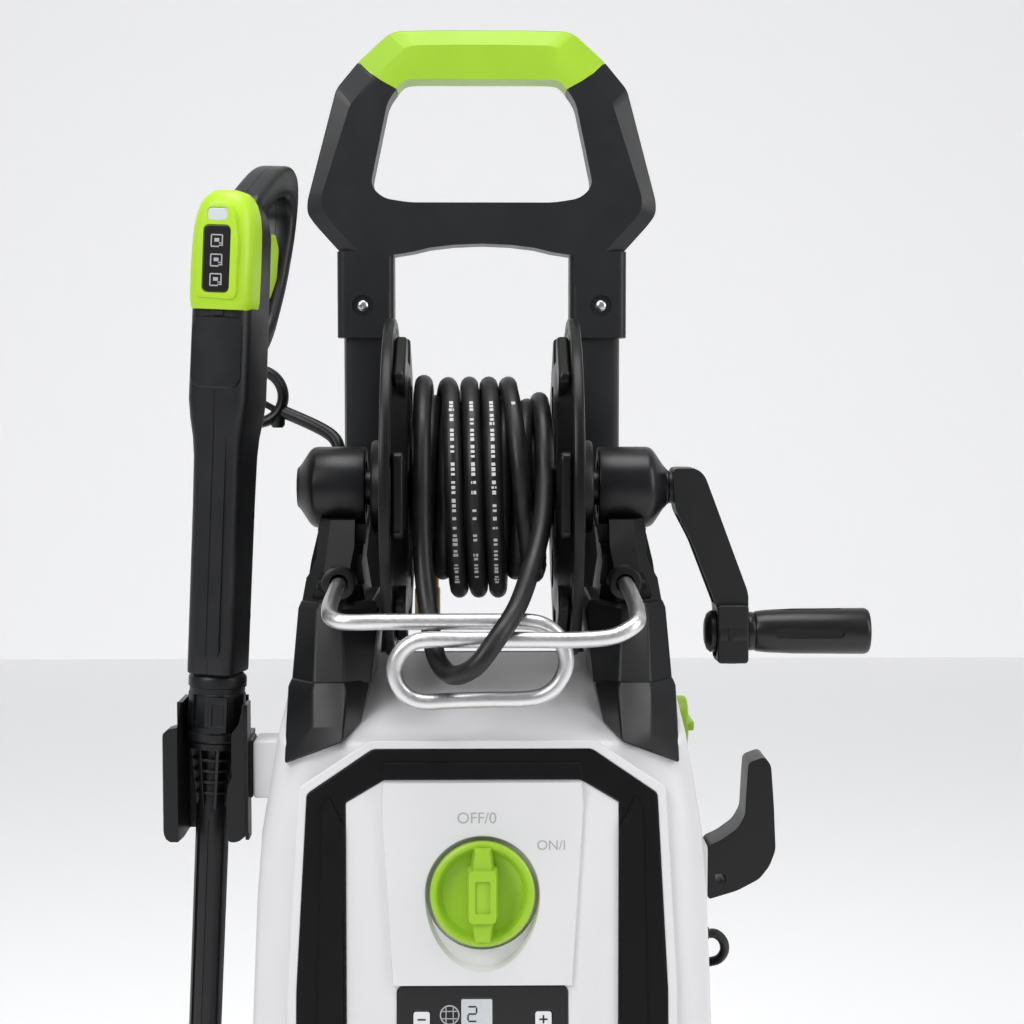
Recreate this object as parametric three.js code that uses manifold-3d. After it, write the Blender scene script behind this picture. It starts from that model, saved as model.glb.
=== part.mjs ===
// Upright pressure washer with a top hose reel, a telescopic handle and a parked spray gun.
// Millimetres, +Z up, +Y towards the back. The reel's axis is the X axis at height reelZ, and
// the whole model is moved at the end so that its origin is at the middle of its footprint.
import * as THREE from 'three';
import { mergeVertices } from 'three/addons/utils/BufferGeometryUtils.js';
import Module from 'manifold-3d';

// ---- Driving dimensions ----
const gap = 0.3;                // clearance between pieces that touch
const bodyHeight = 583;         // rear edge of the sloping deck above the floor
const bodyHalfWidth = 147;      // widest half of the casing
const shoulderNarrowing = 19;   // the casing is this much narrower, each side, at its shoulders
const casingWall = 3;
const faceSlope = 0.1;          // the front face leans back by this much per unit of height
const faceTopY = -116;          // front edge of the deck
const deckSlope = 0.229;        // the deck falls towards the front by this much
const shellSplitY = 40;         // plane between the front and the rear shell
const casingBackY = 115;
const reelAboveDeck = 117;
const reelRadius = 112;         // flange radius
const reelHalfWidth = 47;       // inner face of a flange
const flangeDish = 9.5;         // the rim stands this much outboard of the flange's middle
const axleRadius = 12;
const hubRadius = 27;
const hoseDiameter = 12;
const guideDiameter = 10;
const tubeWidth = 32;           // telescopic tube, across
const tubeDepth = 26;
const sleeveWall = 4;
const tubeCentreX = 84;
const handleY = 134;            // plane of the handle
const handleTravel = 192;
const handleRise = 439;         // top of the handle above the deck, extended
const wheelDiameter = 200;
const wheelWidth = 34;
const wheelInnerX = 154;
const wheelAxleRadius = 8;
const wheelY = 110;
const crankLength = 97;
const crankGripLength = 76;
const crankGripRadius = 15.5;
const knobRadius = 32;
const keyTravel = 1.5;
const gunTilt = 2.6;            // degrees, the parked gun leans towards the casing
const gunTurn = 13;             // degrees, its grip points back and inwards
const nutRadius = 18.5;
const lanceRadius = 10.2;
const cordDiameter = 7;

// ---- Values that follow from them ----
const reelZ = bodyHeight + reelAboveDeck;
const shoulderHalf = bodyHalfWidth - shoulderNarrowing;
const creaseZ = bodyHeight - (shellSplitY - 3 - faceTopY) * deckSlope;
const chassisTopZ = 75;
const axleZ = wheelDiameter / 2;
const handleTopZ = bodyHeight + handleRise;
const socketTopZ = handleTopZ - 220 - handleTravel - 3;
const sleeveWidth = tubeWidth + 2 * sleeveWall + 1;
const sleeveDepth = tubeDepth + 2 * sleeveWall;

// ---- Geometry helpers ----
const wasm = await Module();
wasm.setup();

function toSolid(geometry) {
  const bare = geometry.clone();
  bare.deleteAttribute('normal');
  bare.deleteAttribute('uv');
  const merged = mergeVertices(bare, 1e-4);
  return new wasm.Manifold(new wasm.Mesh({
    numProp: 3,
    vertProperties: new Float32Array(merged.attributes.position.array),
    triVerts: new Uint32Array(merged.index.array),
  }));
}

function toGeometry(solid) {
  const mesh = solid.getMesh();
  const geometry = new THREE.BufferGeometry();
  geometry.setAttribute('position', new THREE.BufferAttribute(new Float32Array(mesh.vertProperties), 3));
  geometry.setIndex(new THREE.BufferAttribute(new Uint32Array(mesh.triVerts), 1));
  return geometry;
}

const combine = (how) => (first, ...others) =>
  toGeometry(others.reduce((solid, other) => solid[how](toSolid(other)), toSolid(first)));
const join = combine('add');
const cut = combine('subtract');
const common = combine('intersect');

// Turns the faces of a closed geometry outwards if they point in.
function outward(geometry) {
  const plain = geometry.index ? geometry : mergeVertices(geometry, 1e-6);
  const p = plain.attributes.position;
  const index = plain.index.array;
  const [a, b, c] = [new THREE.Vector3(), new THREE.Vector3(), new THREE.Vector3()];
  let volume = 0;
  for (let i = 0; i < index.length; i += 3) {
    a.fromBufferAttribute(p, index[i]);
    b.fromBufferAttribute(p, index[i + 1]);
    c.fromBufferAttribute(p, index[i + 2]);
    volume += a.dot(b.cross(c));
  }
  if (volume < 0) {
    for (let i = 0; i < index.length; i += 3) {
      [index[i + 1], index[i + 2]] = [index[i + 2], index[i + 1]];
    }
  }
  return plain;
}

const X = new THREE.Vector3(1, 0, 0);
const Y = new THREE.Vector3(0, 1, 0);
const Z = new THREE.Vector3(0, 0, 1);
const vectors = (points) => points.map((p) => new THREE.Vector3(...p));
const mirrored = (points) => points.map(([a, b]) => [-a, b]).reverse();
const bothSides = (points) => [...points, ...mirrored(points)];

// A box between two corners.
function box(low, high) {
  const size = high.map((h, i) => h - low[i]);
  const geometry = new THREE.BoxGeometry(...size);
  return geometry.translate(...high.map((h, i) => (h + low[i]) / 2));
}

// An outline drawn across an axis and extruded along it: (y, z) for x, (x, z) for y, (x, y) for z.
function slab(outline, axis, from, to, bevel = 0, holes = []) {
  const flat = (points) => points.map(([a, b]) => new THREE.Vector2(a, b));
  const shape = new THREE.Shape(flat(outline));
  shape.holes = holes.map((hole) => new THREE.Path(flat(hole)));
  const geometry = new THREE.ExtrudeGeometry(shape, {
    depth: to - from - 2 * bevel,
    bevelEnabled: bevel > 0,
    bevelThickness: bevel,
    bevelSize: bevel,
    bevelOffset: -bevel,
    bevelSegments: 1,
  });
  geometry.translate(0, 0, (axis === 'y' ? -to : from) + bevel);
  const turn = new THREE.Matrix4();
  if (axis === 'x') turn.makeBasis(Y, Z, X);
  if (axis === 'y') turn.makeBasis(X, Z, Y.clone().negate());
  return outward(geometry.applyMatrix4(turn));
}

// A circle as an outline.
function circle(a, b, radius, sides = 24) {
  const at = (i) => (i * 2 * Math.PI) / sides;
  return Array.from({ length: sides }, (_, i) => [a + radius * Math.cos(at(i)), b + radius * Math.sin(at(i))]);
}

// A rectangle with round corners as an outline.
function roundRect(a0, b0, a1, b1, radius, steps = 2) {
  const corners = [[a1 - radius, b1 - radius, 0], [a0 + radius, b1 - radius, 1],
    [a0 + radius, b0 + radius, 2], [a1 - radius, b0 + radius, 3]];
  return corners.flatMap(([a, b, quarter]) => Array.from({ length: steps + 1 }, (_, i) => {
    const angle = ((quarter + i / steps) * Math.PI) / 2;
    return [a + radius * Math.cos(angle), b + radius * Math.sin(angle)];
  }));
}

// A profile of (radius, distance along the axis) turned about an axis through the origin.
function turned(profile, axis, sides = 24) {
  const geometry = new THREE.LatheGeometry(profile.map(([r, h]) => new THREE.Vector2(r, h)), sides);
  if (axis === 'x') geometry.rotateZ(-Math.PI / 2);
  if (axis === 'z') geometry.rotateX(Math.PI / 2);
  return outward(mergeVertices(stripped(geometry), 1e-4));
}

function stripped(geometry) {
  geometry.deleteAttribute('normal');
  geometry.deleteAttribute('uv');
  return geometry;
}

const rod = (radius, from, to, axis, sides = 20) =>
  turned([[0, from], [radius, from], [radius, to], [0, to]], axis, sides);
const ring = (inner, outer, from, to, axis, sides = 24) =>
  turned([[inner, from], [outer, from], [outer, to], [inner, to], [inner, from]], axis, sides);

// A round bar along a smooth line through the given points.
function bar(points, diameter, sides = 10, steps = 60) {
  const section = new THREE.Shape(circle(0, 0, diameter / 2, sides).map(([a, b]) => new THREE.Vector2(a, b)));
  const path = new THREE.CatmullRomCurve3(vectors(points), false, 'centripetal');
  return outward(new THREE.ExtrudeGeometry(section, { steps, extrudePath: path, bevelEnabled: false }));
}

// A closed skin over a stack of convex rings with equal numbers of points.
function loft(rings) {
  const count = rings[0].length;
  const positions = rings.flat().flatMap((p) => [p.x, p.y, p.z]);
  const index = [];
  for (let level = 0; level + 1 < rings.length; level += 1) {
    for (let i = 0; i < count; i += 1) {
      const j = (i + 1) % count;
      const [a, b] = [level * count + i, level * count + j];
      index.push(a, b, b + count, a, b + count, a + count);
    }
  }
  const top = (rings.length - 1) * count;
  for (let i = 1; i + 1 < count; i += 1) {
    index.push(0, i + 1, i, top, top + i, top + i + 1);
  }
  const geometry = new THREE.BufferGeometry();
  geometry.setAttribute('position', new THREE.BufferAttribute(new Float32Array(positions), 3));
  geometry.setIndex(index);
  return outward(geometry);
}

// One level of a casing: half its width, front and back, corner radii, and its height at each y.
function level(half, front, back, frontCorner, backCorner, heightAt) {
  const steps = 3;
  const corners = [[half - backCorner, back - backCorner, backCorner, 0],
    [-half + backCorner, back - backCorner, backCorner, 1],
    [-half + frontCorner, front + frontCorner, frontCorner, 2],
    [half - frontCorner, front + frontCorner, frontCorner, 3]];
  return corners.flatMap(([x, y, radius, quarter]) => Array.from({ length: steps + 1 }, (_, i) => {
    const angle = ((quarter + i / steps) * Math.PI) / 2;
    const py = y + radius * Math.sin(angle);
    return new THREE.Vector3(x + radius * Math.cos(angle), py, heightAt(py));
  }));
}

// ---- The finished model: named meshes in one group ----
const finishes = {
  whitePlastic: { color: '#dddcdf', roughness: 0.45, metalness: 0 },
  blackPlastic: { color: '#1d1e20', roughness: 0.5, metalness: 0 },
  limePlastic: { color: '#a2cb37', roughness: 0.4, metalness: 0 },
  greyPlastic: { color: '#3a3c40', roughness: 0.5, metalness: 0 },
  rubber: { color: '#161616', roughness: 0.8, metalness: 0 },
  aluminium: { color: '#c3c2c4', roughness: 0.35, metalness: 1 },
  steel: { color: '#9c9da0', roughness: 0.3, metalness: 1 },
  brass: { color: '#b08d4a', roughness: 0.35, metalness: 1 },
  iron: { color: '#55585c', roughness: 0.6, metalness: 0.6 },
  clear: { color: '#cfd6d8', roughness: 0.1, metalness: 0 },
};
const washer = new THREE.Group();

function add(name, geometry, finish, parent = washer) {
  const mesh = new THREE.Mesh(outward(stripped(geometry)), new THREE.MeshStandardMaterial(finishes[finish]));
  mesh.name = name;
  parent.add(mesh);
  return mesh;
}

// ---- Casing ----
const faceYAt = (z) => faceTopY - (creaseZ - z) * faceSlope;
const deckZAt = (y) => bodyHeight - (shellSplitY - 3 - y) * deckSlope;
const rearDeckZAt = (y) => deckZAt(shellSplitY) - (y - shellSplitY) * 0.12;
const flatFaceBottom = 250;
const shellLevels = [
  { z: chassisTopZ, in: 15 }, { z: chassisTopZ + 20, in: 5 }, { z: 200, in: 0 },
  { z: flatFaceBottom, in: 1 }, { z: creaseZ - 148, in: 5 }, { z: creaseZ - 58, in: 9.5 },
  { z: creaseZ - 7, in: shoulderNarrowing },
];

// Half the casing's width at a height.
const sideHalfAt = (z) => {
  const rows = shellLevels.map(({ z: height, in: narrowing }) => [height, bodyHalfWidth - narrowing]);
  const i = Math.max(0, rows.findIndex(([height]) => height > z) - 1);
  const [[z0, w0], [z1, w1]] = [rows[i], rows[i + 1]];
  return w0 + ((w1 - w0) * (z - z0)) / (z1 - z0);
};

const hookY = 20;
const hookZ = bodyHeight - 146;
const hookPlateDepth = 12;
const hookX = sideHalfAt(hookZ) + hookPlateDepth;

function frontSolid(offset) {
  const rings = shellLevels.map(({ z, in: narrowing }, i) => {
    const height = i === 0 ? z - Math.max(offset, -offset * 2) : z;
    const front = faceYAt(Math.max(z, flatFaceBottom)) + (z < 100 ? 8 : 0) - offset;
    const back = offset < 0 ? shellSplitY + 5 : shellSplitY + offset;
    return level(bodyHalfWidth - narrowing + offset, front, back, 26 + offset, 0.5, () => height);
  });
  const shoulder = (inset, drop) => level(shoulderHalf - inset + offset, faceTopY + inset / 2 - offset,
    offset < 0 ? shellSplitY + 5 : shellSplitY + offset, 24 + offset, 0.5,
    (y) => deckZAt(y) - drop + offset);
  return loft([...rings, shoulder(1, 5), shoulder(7, 0)]);
}

function rearSolid(offset) {
  const front = offset < 0 ? shellSplitY - 5 : shellSplitY + gap - offset;
  const bottom = wheelDiameter / 2 + 35.3;
  const rows = [{ z: bottom, in: 2 }, ...shellLevels.slice(2)];
  const rings = rows.map(({ z, in: narrowing }, i) => level(bodyHalfWidth - narrowing + offset, front,
    casingBackY + offset, 0.5, 22 + offset, () => (i === 0 ? z - Math.max(offset, -offset * 2) : z)));
  const shoulder = (inset, drop) => level(shoulderHalf - inset + offset, front, casingBackY - inset + offset,
    0.5, 20, (y) => rearDeckZAt(y) - drop + offset);
  return loft([...rings, shoulder(1, 7), shoulder(7, 0)]);
}

// Everything on the front face is drawn in the face's own frame: x across, z up the face, -y out.
const face = new THREE.Group();
face.position.set(0, faceTopY, creaseZ);
face.rotation.x = -Math.atan(faceSlope);
face.updateMatrix();
washer.add(face);
const onFace = (geometry) => geometry.clone().applyMatrix4(face.matrix);
const knobH = -90;
const knobStemRadius = 6;

function frontShell() {
  const stemHole = onFace(rod(knobStemRadius + 2, -10, 12, 'y').translate(0, 0, knobH));
  const hookPlate = box([hookX - 20, hookY - 19, hookZ - 20], [hookX, hookY + 19, hookZ + 20]);
  return cut(join(frontSolid(0), hookPlate), frontSolid(-casingWall), stemHole);
}

const cordExit = { y: 75, z: 376 };

function rearShell() {
  return cut(rearSolid(0), rearSolid(-casingWall));
}

function chassis() {
  const tray = loft([
    level(bodyHalfWidth - 22, -128, casingBackY, 26, 8, () => 25),
    level(bodyHalfWidth - 15, -136, casingBackY, 26, 8, () => 40),
    level(bodyHalfWidth - 15, -136, casingBackY, 26, 8, () => chassisTopZ - gap)]);
  const block = box([-bodyHalfWidth + 6, shellSplitY + 1, 26], [bodyHalfWidth - 6, wheelY + 24, axleZ + 35]);
  const bore = rod(wheelAxleRadius + gap, -bodyHalfWidth, bodyHalfWidth, 'x').translate(0, wheelY, axleZ);
  const relief = box([-bodyHalfWidth + 22, shellSplitY + 14, chassisTopZ - 40],
    [bodyHalfWidth - 22, wheelY - 18, axleZ + 40]);
  const pocket = (x0, x1) => box([x0, -112, 32], [x1, shellSplitY - 8, chassisTopZ + 5]);
  return cut(join(tray, block), bore, relief, pocket(-122, -62), pocket(62, 122));
}

add('front_shell', frontShell(), 'whitePlastic');
add('rear_shell', rearShell(), 'blackPlastic');
add('base_chassis', chassis(), 'blackPlastic');
const footX = bodyHalfWidth - 42;
for (const [side, name] of [[-1, 'left'], [1, 'right']]) {
  const foot = turned([[0, 0], [17, 0], [19, 3], [19, 25 - gap], [0, 25 - gap]], 'z', 24);
  add(`foot_${name}`, foot.translate(side * footX, -100, 0), 'rubber');
}

// ---- Front panel ----
const trimOuter = bothSides([[113, -236], [113, -150], [107, -30], [67, -3]]);
const trimInner = [[60, -21], [84, -35], [83, -205], [72, -214]];
const windowHalf = 52;
const windowTop = -146;
const windowBottom = -204;
const inset = (points, by) => points.map(([a, b]) => [a - Math.sign(a) * by, b + (b < -200 ? by : -by)]);

function frontTrim() {
  return slab(trimOuter, 'y', -5, -gap, 1.5, [bothSides(trimInner)]);
}

function controlPanel() {
  const plate = slab(bothSides(inset(trimInner, 2 * gap)), 'y', -7, -gap, 2);
  const window = box([-windowHalf - gap, -20, windowBottom - gap], [windowHalf + gap, 5, windowTop + gap]);
  const recess = rod(knobRadius + 3, -20, -3, 'y', 24).translate(0, 0, knobH);
  const stemHole = rod(knobStemRadius + 2, -20, 5, 'y').translate(0, 0, knobH);
  return cut(plate, window, recess, stemHole);
}

const keyX = 37;
const keyZ = windowTop - 20;
const keyHalf = [5, 4.5];
const lcd = { low: [-13, -gap, windowTop - 26], high: [6, 0, windowTop - 8] };

function displayBezel() {
  const plate = slab(roundRect(-windowHalf, windowBottom, windowHalf, windowTop, 4), 'y', -6, -gap, 1);
  const keyHole = (side) => box([side * keyX - keyHalf[0] - gap, -10, keyZ - keyHalf[1] - gap],
    [side * keyX + keyHalf[0] + gap, 5, keyZ + keyHalf[1] + gap]);
  const lcdPocket = box([lcd.low[0] - gap, -10, lcd.low[2] - gap], [lcd.high[0] + gap, -3.5, lcd.high[2] + gap]);
  return cut(plate, keyHole(-1), keyHole(1), lcdPocket);
}

function powerKnob() {
  const disc = turned([[0, -3.6], [knobRadius - 4, -3.6], [knobRadius, -5], [knobRadius, -11],
    [knobRadius - 3, -13], [0, -13]], 'y', 24);
  const grip = slab(roundRect(-6.5, -knobRadius + 2, 6.5, knobRadius - 2, 5), 'y', -24, -12, 1.5);
  const block = slab(roundRect(-9, -17, 9, 17, 3), 'y', -25.5, -12, 1);
  const stem = rod(knobStemRadius, -4, casingWall + 8, 'y');
  return join(disc, grip, block, stem).translate(0, 0, knobH);
}

add('front_trim', frontTrim(), 'blackPlastic', face);
add('control_panel', controlPanel(), 'whitePlastic', face);
add('display_bezel', displayBezel(), 'blackPlastic', face);
add('display_lens', box([lcd.low[0], -5.4, lcd.low[2]], [lcd.high[0], -3.8, lcd.high[2]]), 'clear', face);
add('power_knob', powerKnob(), 'limePlastic', face);
for (const [side, name] of [[-1, 'key_minus'], [1, 'key_plus']]) {
  const key = slab(roundRect(-keyHalf[0], -keyHalf[1], keyHalf[0], keyHalf[1], 1.5), 'y', -7.4, -keyTravel - 1, 0.5);
  add(name, key.translate(side * keyX, 0, keyZ), 'whitePlastic', face);
}
const switchBox = box([-22, casingWall + 8 + gap, knobH - 28], [22, casingWall + 46, knobH + 28]);
add('power_switch', switchBox, 'blackPlastic', face);

// ---- Drive inside the casing ----
function pumpHead() {
  const block = box([-46, -60, chassisTopZ], [46, 20, 165]);
  const valves = [-24, 0, 24].map((x) => rod(9, -74, -59, 'y', 16).translate(x, 0, 130));
  const neck = rod(34, 164, 182, 'z', 24).translate(0, -20, 0);
  return join(block, neck, ...valves);
}

function motor() {
  const can = turned([[0, 182 + gap], [50, 182 + gap], [54, 190], [54, 372], [46, 392], [0, 392]], 'z', 24);
  const fins = Array.from({ length: 8 }, (_, i) => box([52, -2, 200], [60, 2, 366]).rotateZ((i * Math.PI) / 4));
  return join(can, ...fins).translate(0, -20, 0);
}

add('pump_head', pumpHead(), 'brass');
add('motor', motor(), 'iron');

// ---- Reel supports on the deck ----
const columnFrontY = -45;
const guideX = 92;
const guideZ = reelZ - 59;

function column(side) {
  const front = [[60, -190], [shoulderHalf - 1, -190], [shoulderHalf - 2, -156], [shoulderHalf - 7, -124],
    [119.5, -75], [115.5, -59], [112, -27], [111, -6], [86, -6], [80, -29], [77, -60], [66, -123]];
  const profile = [[15, -19], [34, -30], [46, -60], [37, -150], [-104, -190], [-102, -155], [-58, -118],
    [-50, -82], [columnFrontY, -76], [columnFrontY, -44], [-34, -30], [-15, -19]];
  const flip = (points) => (side > 0 ? points : mirrored(points));
  const upright = common(
    slab(flip(front), 'y', -120, 60).translate(0, 0, reelZ),
    slab(profile, 'x', side > 0 ? 50 : -150, side > 0 ? 150 : -50).translate(0, 0, reelZ));
  const toe = slab(flip([[104, -98], [118, -98], [124, 30], [72, 30], [66, -50]]), 'z', 500, bodyHeight - 4);
  const blank = common(join(upright, toe), box([-shoulderHalf + 4, -100, 0], [shoulderHalf - 4, 80, 2000]));
  const along = side > 0 ? [60, 125] : [-125, -60];
  return cut(blank, frontSolid(gap), rearSolid(gap),
    rod(hubRadius + gap, ...along, 'x', 20).translate(0, 0, reelZ),
    rod(guideDiameter / 2 + 3 * gap, columnFrontY - 2, columnFrontY + 24, 'y').translate(side * guideX, 0, guideZ));
}

function hub(side) {
  const bearingRadius = axleRadius + 8;
  const outer = [[115, hubRadius], [120, hubRadius - 5], [122.5, hubRadius - 13]];
  const bore = side > 0
    ? [[122.5, axleRadius + gap], [92, axleRadius + gap]]
    : [[122.5, 0], [108, 0], [108, axleRadius + gap], [92, axleRadius + gap]];
  const profile = [[92, bearingRadius + gap], [77, bearingRadius + gap], [77, hubRadius], ...outer, ...bore]
    .map(([x, r]) => [r, side * x]);
  return turned([...profile, profile[0]], 'x', 20).translate(0, 0, reelZ);
}

for (const [side, name] of [[-1, 'left'], [1, 'right']]) {
  add(`column_${name}`, column(side), 'blackPlastic');
  add(`hub_${name}`, hub(side), 'greyPlastic');
  const bearing = ring(axleRadius + gap, axleRadius + 8, side > 0 ? 79 : -91, side > 0 ? 91 : -79, 'x', 20);
  add(`bearing_${name}`, bearing.translate(0, 0, reelZ), 'steel');
}

// ---- Hose reel ----
function flange(side) {
  const middle = reelHalfWidth;
  const rim = middle + flangeDish;
  const profile = [[axleRadius + gap, middle], [76, middle], [100, rim], [reelRadius, rim],
    [reelRadius, rim + 7], [96, rim + 7], [72, middle + 5], [34, middle + 5], [30, middle + 26],
    [axleRadius + gap, middle + 26], [axleRadius + gap, middle]].map(([r, x]) => [r, side * x]);
  const windows = Array.from({ length: 6 }, (_, i) => {
    const hole = slab([[-15, 42], [15, 42], [15, 66], [-15, 66]], 'x', -120, 120);
    return hole.rotateX((i * Math.PI) / 3);
  });
  return cut(turned(profile, 'x', 32), ...windows).translate(0, 0, reelZ);
}

const coilSteps = [[-reelHalfWidth + 1, -29.5, 61], [-29.5, 25.5, 74], [25.5, 29.5, 58], [29.5, reelHalfWidth - 1, 50]];

function hoseCoil() {
  const outer = coilSteps.flatMap(([from, to, radius]) => [[radius, from], [radius, to]]);
  const inner = 26 + gap;
  const profile = [[inner, coilSteps[0][0]], ...outer, [inner, reelHalfWidth - 1], [inner, coilSteps[0][0]]];
  return turned(profile, 'x', 28).translate(0, 0, reelZ);
}

const drum = ring(axleRadius + gap, 26, -reelHalfWidth + gap, reelHalfWidth - gap, 'x', 24);
add('reel_drum', drum.translate(0, 0, reelZ), 'blackPlastic');
add('reel_flange_left', flange(-1), 'blackPlastic');
add('reel_flange_right', flange(1), 'blackPlastic');
const axle = turned([[0, -107], [axleRadius, -107], [axleRadius, 124], [8, 124], [8, 137], [0, 137]], 'x', 24);
add('reel_axle', axle.translate(0, 0, reelZ), 'steel');
add('hose_coil', hoseCoil(), 'rubber');

// ---- Crank ----
const crankPinX = 166;

function crankArm() {
  const boss = rod(axleRadius, 124.5, 136, 'x', 24);
  const web = slab([[128, 12], [148, 12], [176.7, -72], [176.7, -crankLength - 12], [156, -crankLength - 12],
    [156, -80], [138, -34], [128, -14]], 'y', -15, 15, 3);
  const foot = rod(20, 156, 177, 'x', 24).translate(0, 0, -crankLength);
  const head = rod(16, 128, 144, 'x', 24);
  const socket = rod(8 + gap, 100, 137 + gap, 'x', 24);
  const pinHole = rod(6 + gap, 150, 190, 'x', 24).translate(0, 0, -crankLength);
  return cut(join(boss, web, foot, head), socket, pinHole).translate(0, 0, reelZ);
}

function crankPin() {
  const cap = rod(14, 149, 156 - gap, 'x', 24);
  const pin = rod(6, 150, 250, 'x', 20);
  return join(cap, pin).translate(0, 0, reelZ - crankLength);
}

function crankGrip() {
  const start = 177 + gap;
  const end = start + 6 + crankGripLength;
  const profile = [[6 + gap, start], [12, start], [12, start + 6], [crankGripRadius - 1, start + 7],
    [crankGripRadius, start + 30], [crankGripRadius, end - 3], [crankGripRadius - 3, end],
    [0, end], [0, 250 + gap], [6 + gap, 250 + gap], [6 + gap, start]];
  return turned(profile, 'x', 24).translate(0, 0, reelZ - crankLength);
}

add('crank_arm', crankArm(), 'greyPlastic');
add('crank_pin', crankPin(), 'steel');
add('crank_grip', crankGrip(), 'blackPlastic');

// ---- Hose guide: one bent tube with a loop that the hose runs through ----
const arc = (x, y, z, radius, from, to, count) => Array.from({ length: count }, (_, i) => {
  const angle = THREE.MathUtils.degToRad(from + ((to - from) * i) / (count - 1));
  return [x + radius * Math.cos(angle), y, z + radius * Math.sin(angle)];
});

function hoseGuide() {
  const upper = reelZ - 75;
  const lower = reelZ - 122;
  const endRadius = (upper - lower) / 2;
  const crossZ = upper - 9.6;
  const crossRadius = (crossZ - lower) / 2;
  const points = [
    [-guideX, columnFrontY + 22, guideZ], [-guideX, columnFrontY + 4, guideZ], [-guideX - 1, -75, guideZ - 4],
    [-guideX - 2, -106, guideZ - 10], [-guideX, -121, guideZ - 14], [-guideX + 7, -128, upper],
    [-60, -128, upper], [-20, -128, upper], [10, -128, upper],
    ...arc(27.5, -128.5, upper - endRadius, endRadius, 90, -90, 7),
    [0, -132, lower], [-20, -136, lower],
    ...arc(-34, -139.5, lower + crossRadius, crossRadius, 270, 90, 7),
    [-10, -140, crossZ], [30, -140, crossZ], [60, -139.5, crossZ], [80, -138, crossZ + 2],
    [guideX + 1, -131, guideZ - 17], [guideX + 3, -115, guideZ - 12], [guideX + 2, -80, guideZ - 5],
    [guideX, columnFrontY - 4, guideZ], [guideX, columnFrontY + 22, guideZ],
  ];
  return bar(points, guideDiameter, 8, 60);
}

add('hose_guide', hoseGuide(), 'aluminium');

// ---- Free end of the hose, as points along its middle ----
const looseParts = new THREE.Group();
washer.add(looseParts);
const hoseRoute = [
  [38, 27, 649.5], [38, 49, 670.5], [38, 57, 700], [37.5, 50, 728], [37.5, 29, 749], [38, 0, 757.5],
  [39, -28, 750], [40, -48, 732], [40.2, -62, 708], [37.5, -82, 680], [30, -107, 655],
  [20, -138, 633], [8, -155, 617], [-4, -158.5, 602], [-15, -150, 595.5], [-23, -134, 596.5],
  [-29, -116, 605], [-33, -98, 625], [-37, -84, 655], [-38.5, -74, 686], [-38.5, -67, 714],
  [-38.5, -49, 747], [-38.5, -22, 765], [-38.5, 8, 768.5], [-38.5, 38, 757.5], [-38.5, 60, 732],
  [-38.5, 69, 700], [-38.5, 73, 674], [-38.5, 75, 656], [-38.5, 75, 640]];
add('hose_strand', bar(hoseRoute, hoseDiameter, 8, 44), 'rubber', looseParts);
const [endX, endY, endZ] = hoseRoute.at(-1);
const connector = turned([[0, -42], [6, -42], [9, -40], [9, -16], [8, -14], [8, -gap], [0, -gap]], 'z', 24);
add('hose_connector', connector.translate(endX, endY, endZ), 'brass', looseParts);

// ---- Telescopic handle ----
const handleLow = handleY - sleeveDepth / 2;
const handleHigh = handleY + sleeveDepth / 2;
const sleeveBottom = -220;
const loopHalf = bothSides([[68, sleeveBottom + 60], [104.6, -156], [120, -139], [125.8, -130], [125.8, -122],
  [104.6, -42], [88.4, -22.5], [67, -3], [30, 0]]);
const openingHalf = bothSides([[52, -123], [71, -120], [80, -111], [67.5, -51.5], [57, -37]]);
const gripRegion = bothSides([[40, -43], [61.4, -43], [72.4, -37], [80.5, -31.5], [90, -22], [90, 20]]);

function loopSolid() {
  const frame = slab(loopHalf, 'y', handleLow, handleHigh, 6, [openingHalf]);
  const arch = slab([[-66, -170], [66, -170], [66, -161], [38, -155.5], [0, -152.5], [-38, -155.5], [-66, -161]],
    'y', handleLow - 5, handleHigh + 5);
  return cut(frame, arch).translate(0, 0, handleTopZ);
}

function handleLoop() {
  const sleeve = (side) => slab(roundRect(side * tubeCentreX - sleeveWidth / 2, handleLow,
    side * tubeCentreX + sleeveWidth / 2, handleHigh, 6), 'z', sleeveBottom, -150, 2);
  const pocket = (side) => box(
    [side * tubeCentreX - tubeWidth / 2 - gap, handleY - tubeDepth / 2 - gap, sleeveBottom - 5],
    [side * tubeCentreX + tubeWidth / 2 + gap, handleY + tubeDepth / 2 + gap, sleeveBottom + 45]);
  const recess = (side) => rod(8, handleLow - 1, handleLow + 2.4, 'y').translate(side * 86, 0, sleeveBottom + 23);
  const frame = cut(loopSolid(), slab(gripRegion, 'y', handleLow - 10, handleHigh + 10).translate(0, 0, handleTopZ));
  const sleeves = join(sleeve(-1), sleeve(1)).translate(0, 0, handleTopZ);
  const cuts = [pocket(-1), pocket(1), recess(-1), recess(1)].map((g) => g.translate(0, 0, handleTopZ));
  return cut(join(frame, sleeves), ...cuts);
}

function handleGrip() {
  const region = slab(inset(gripRegion, gap).map(([a, b]) => [a, b + 2 * gap]), 'y', handleLow - 10, handleHigh + 10);
  return common(loopSolid(), region.translate(0, 0, handleTopZ));
}

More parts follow.
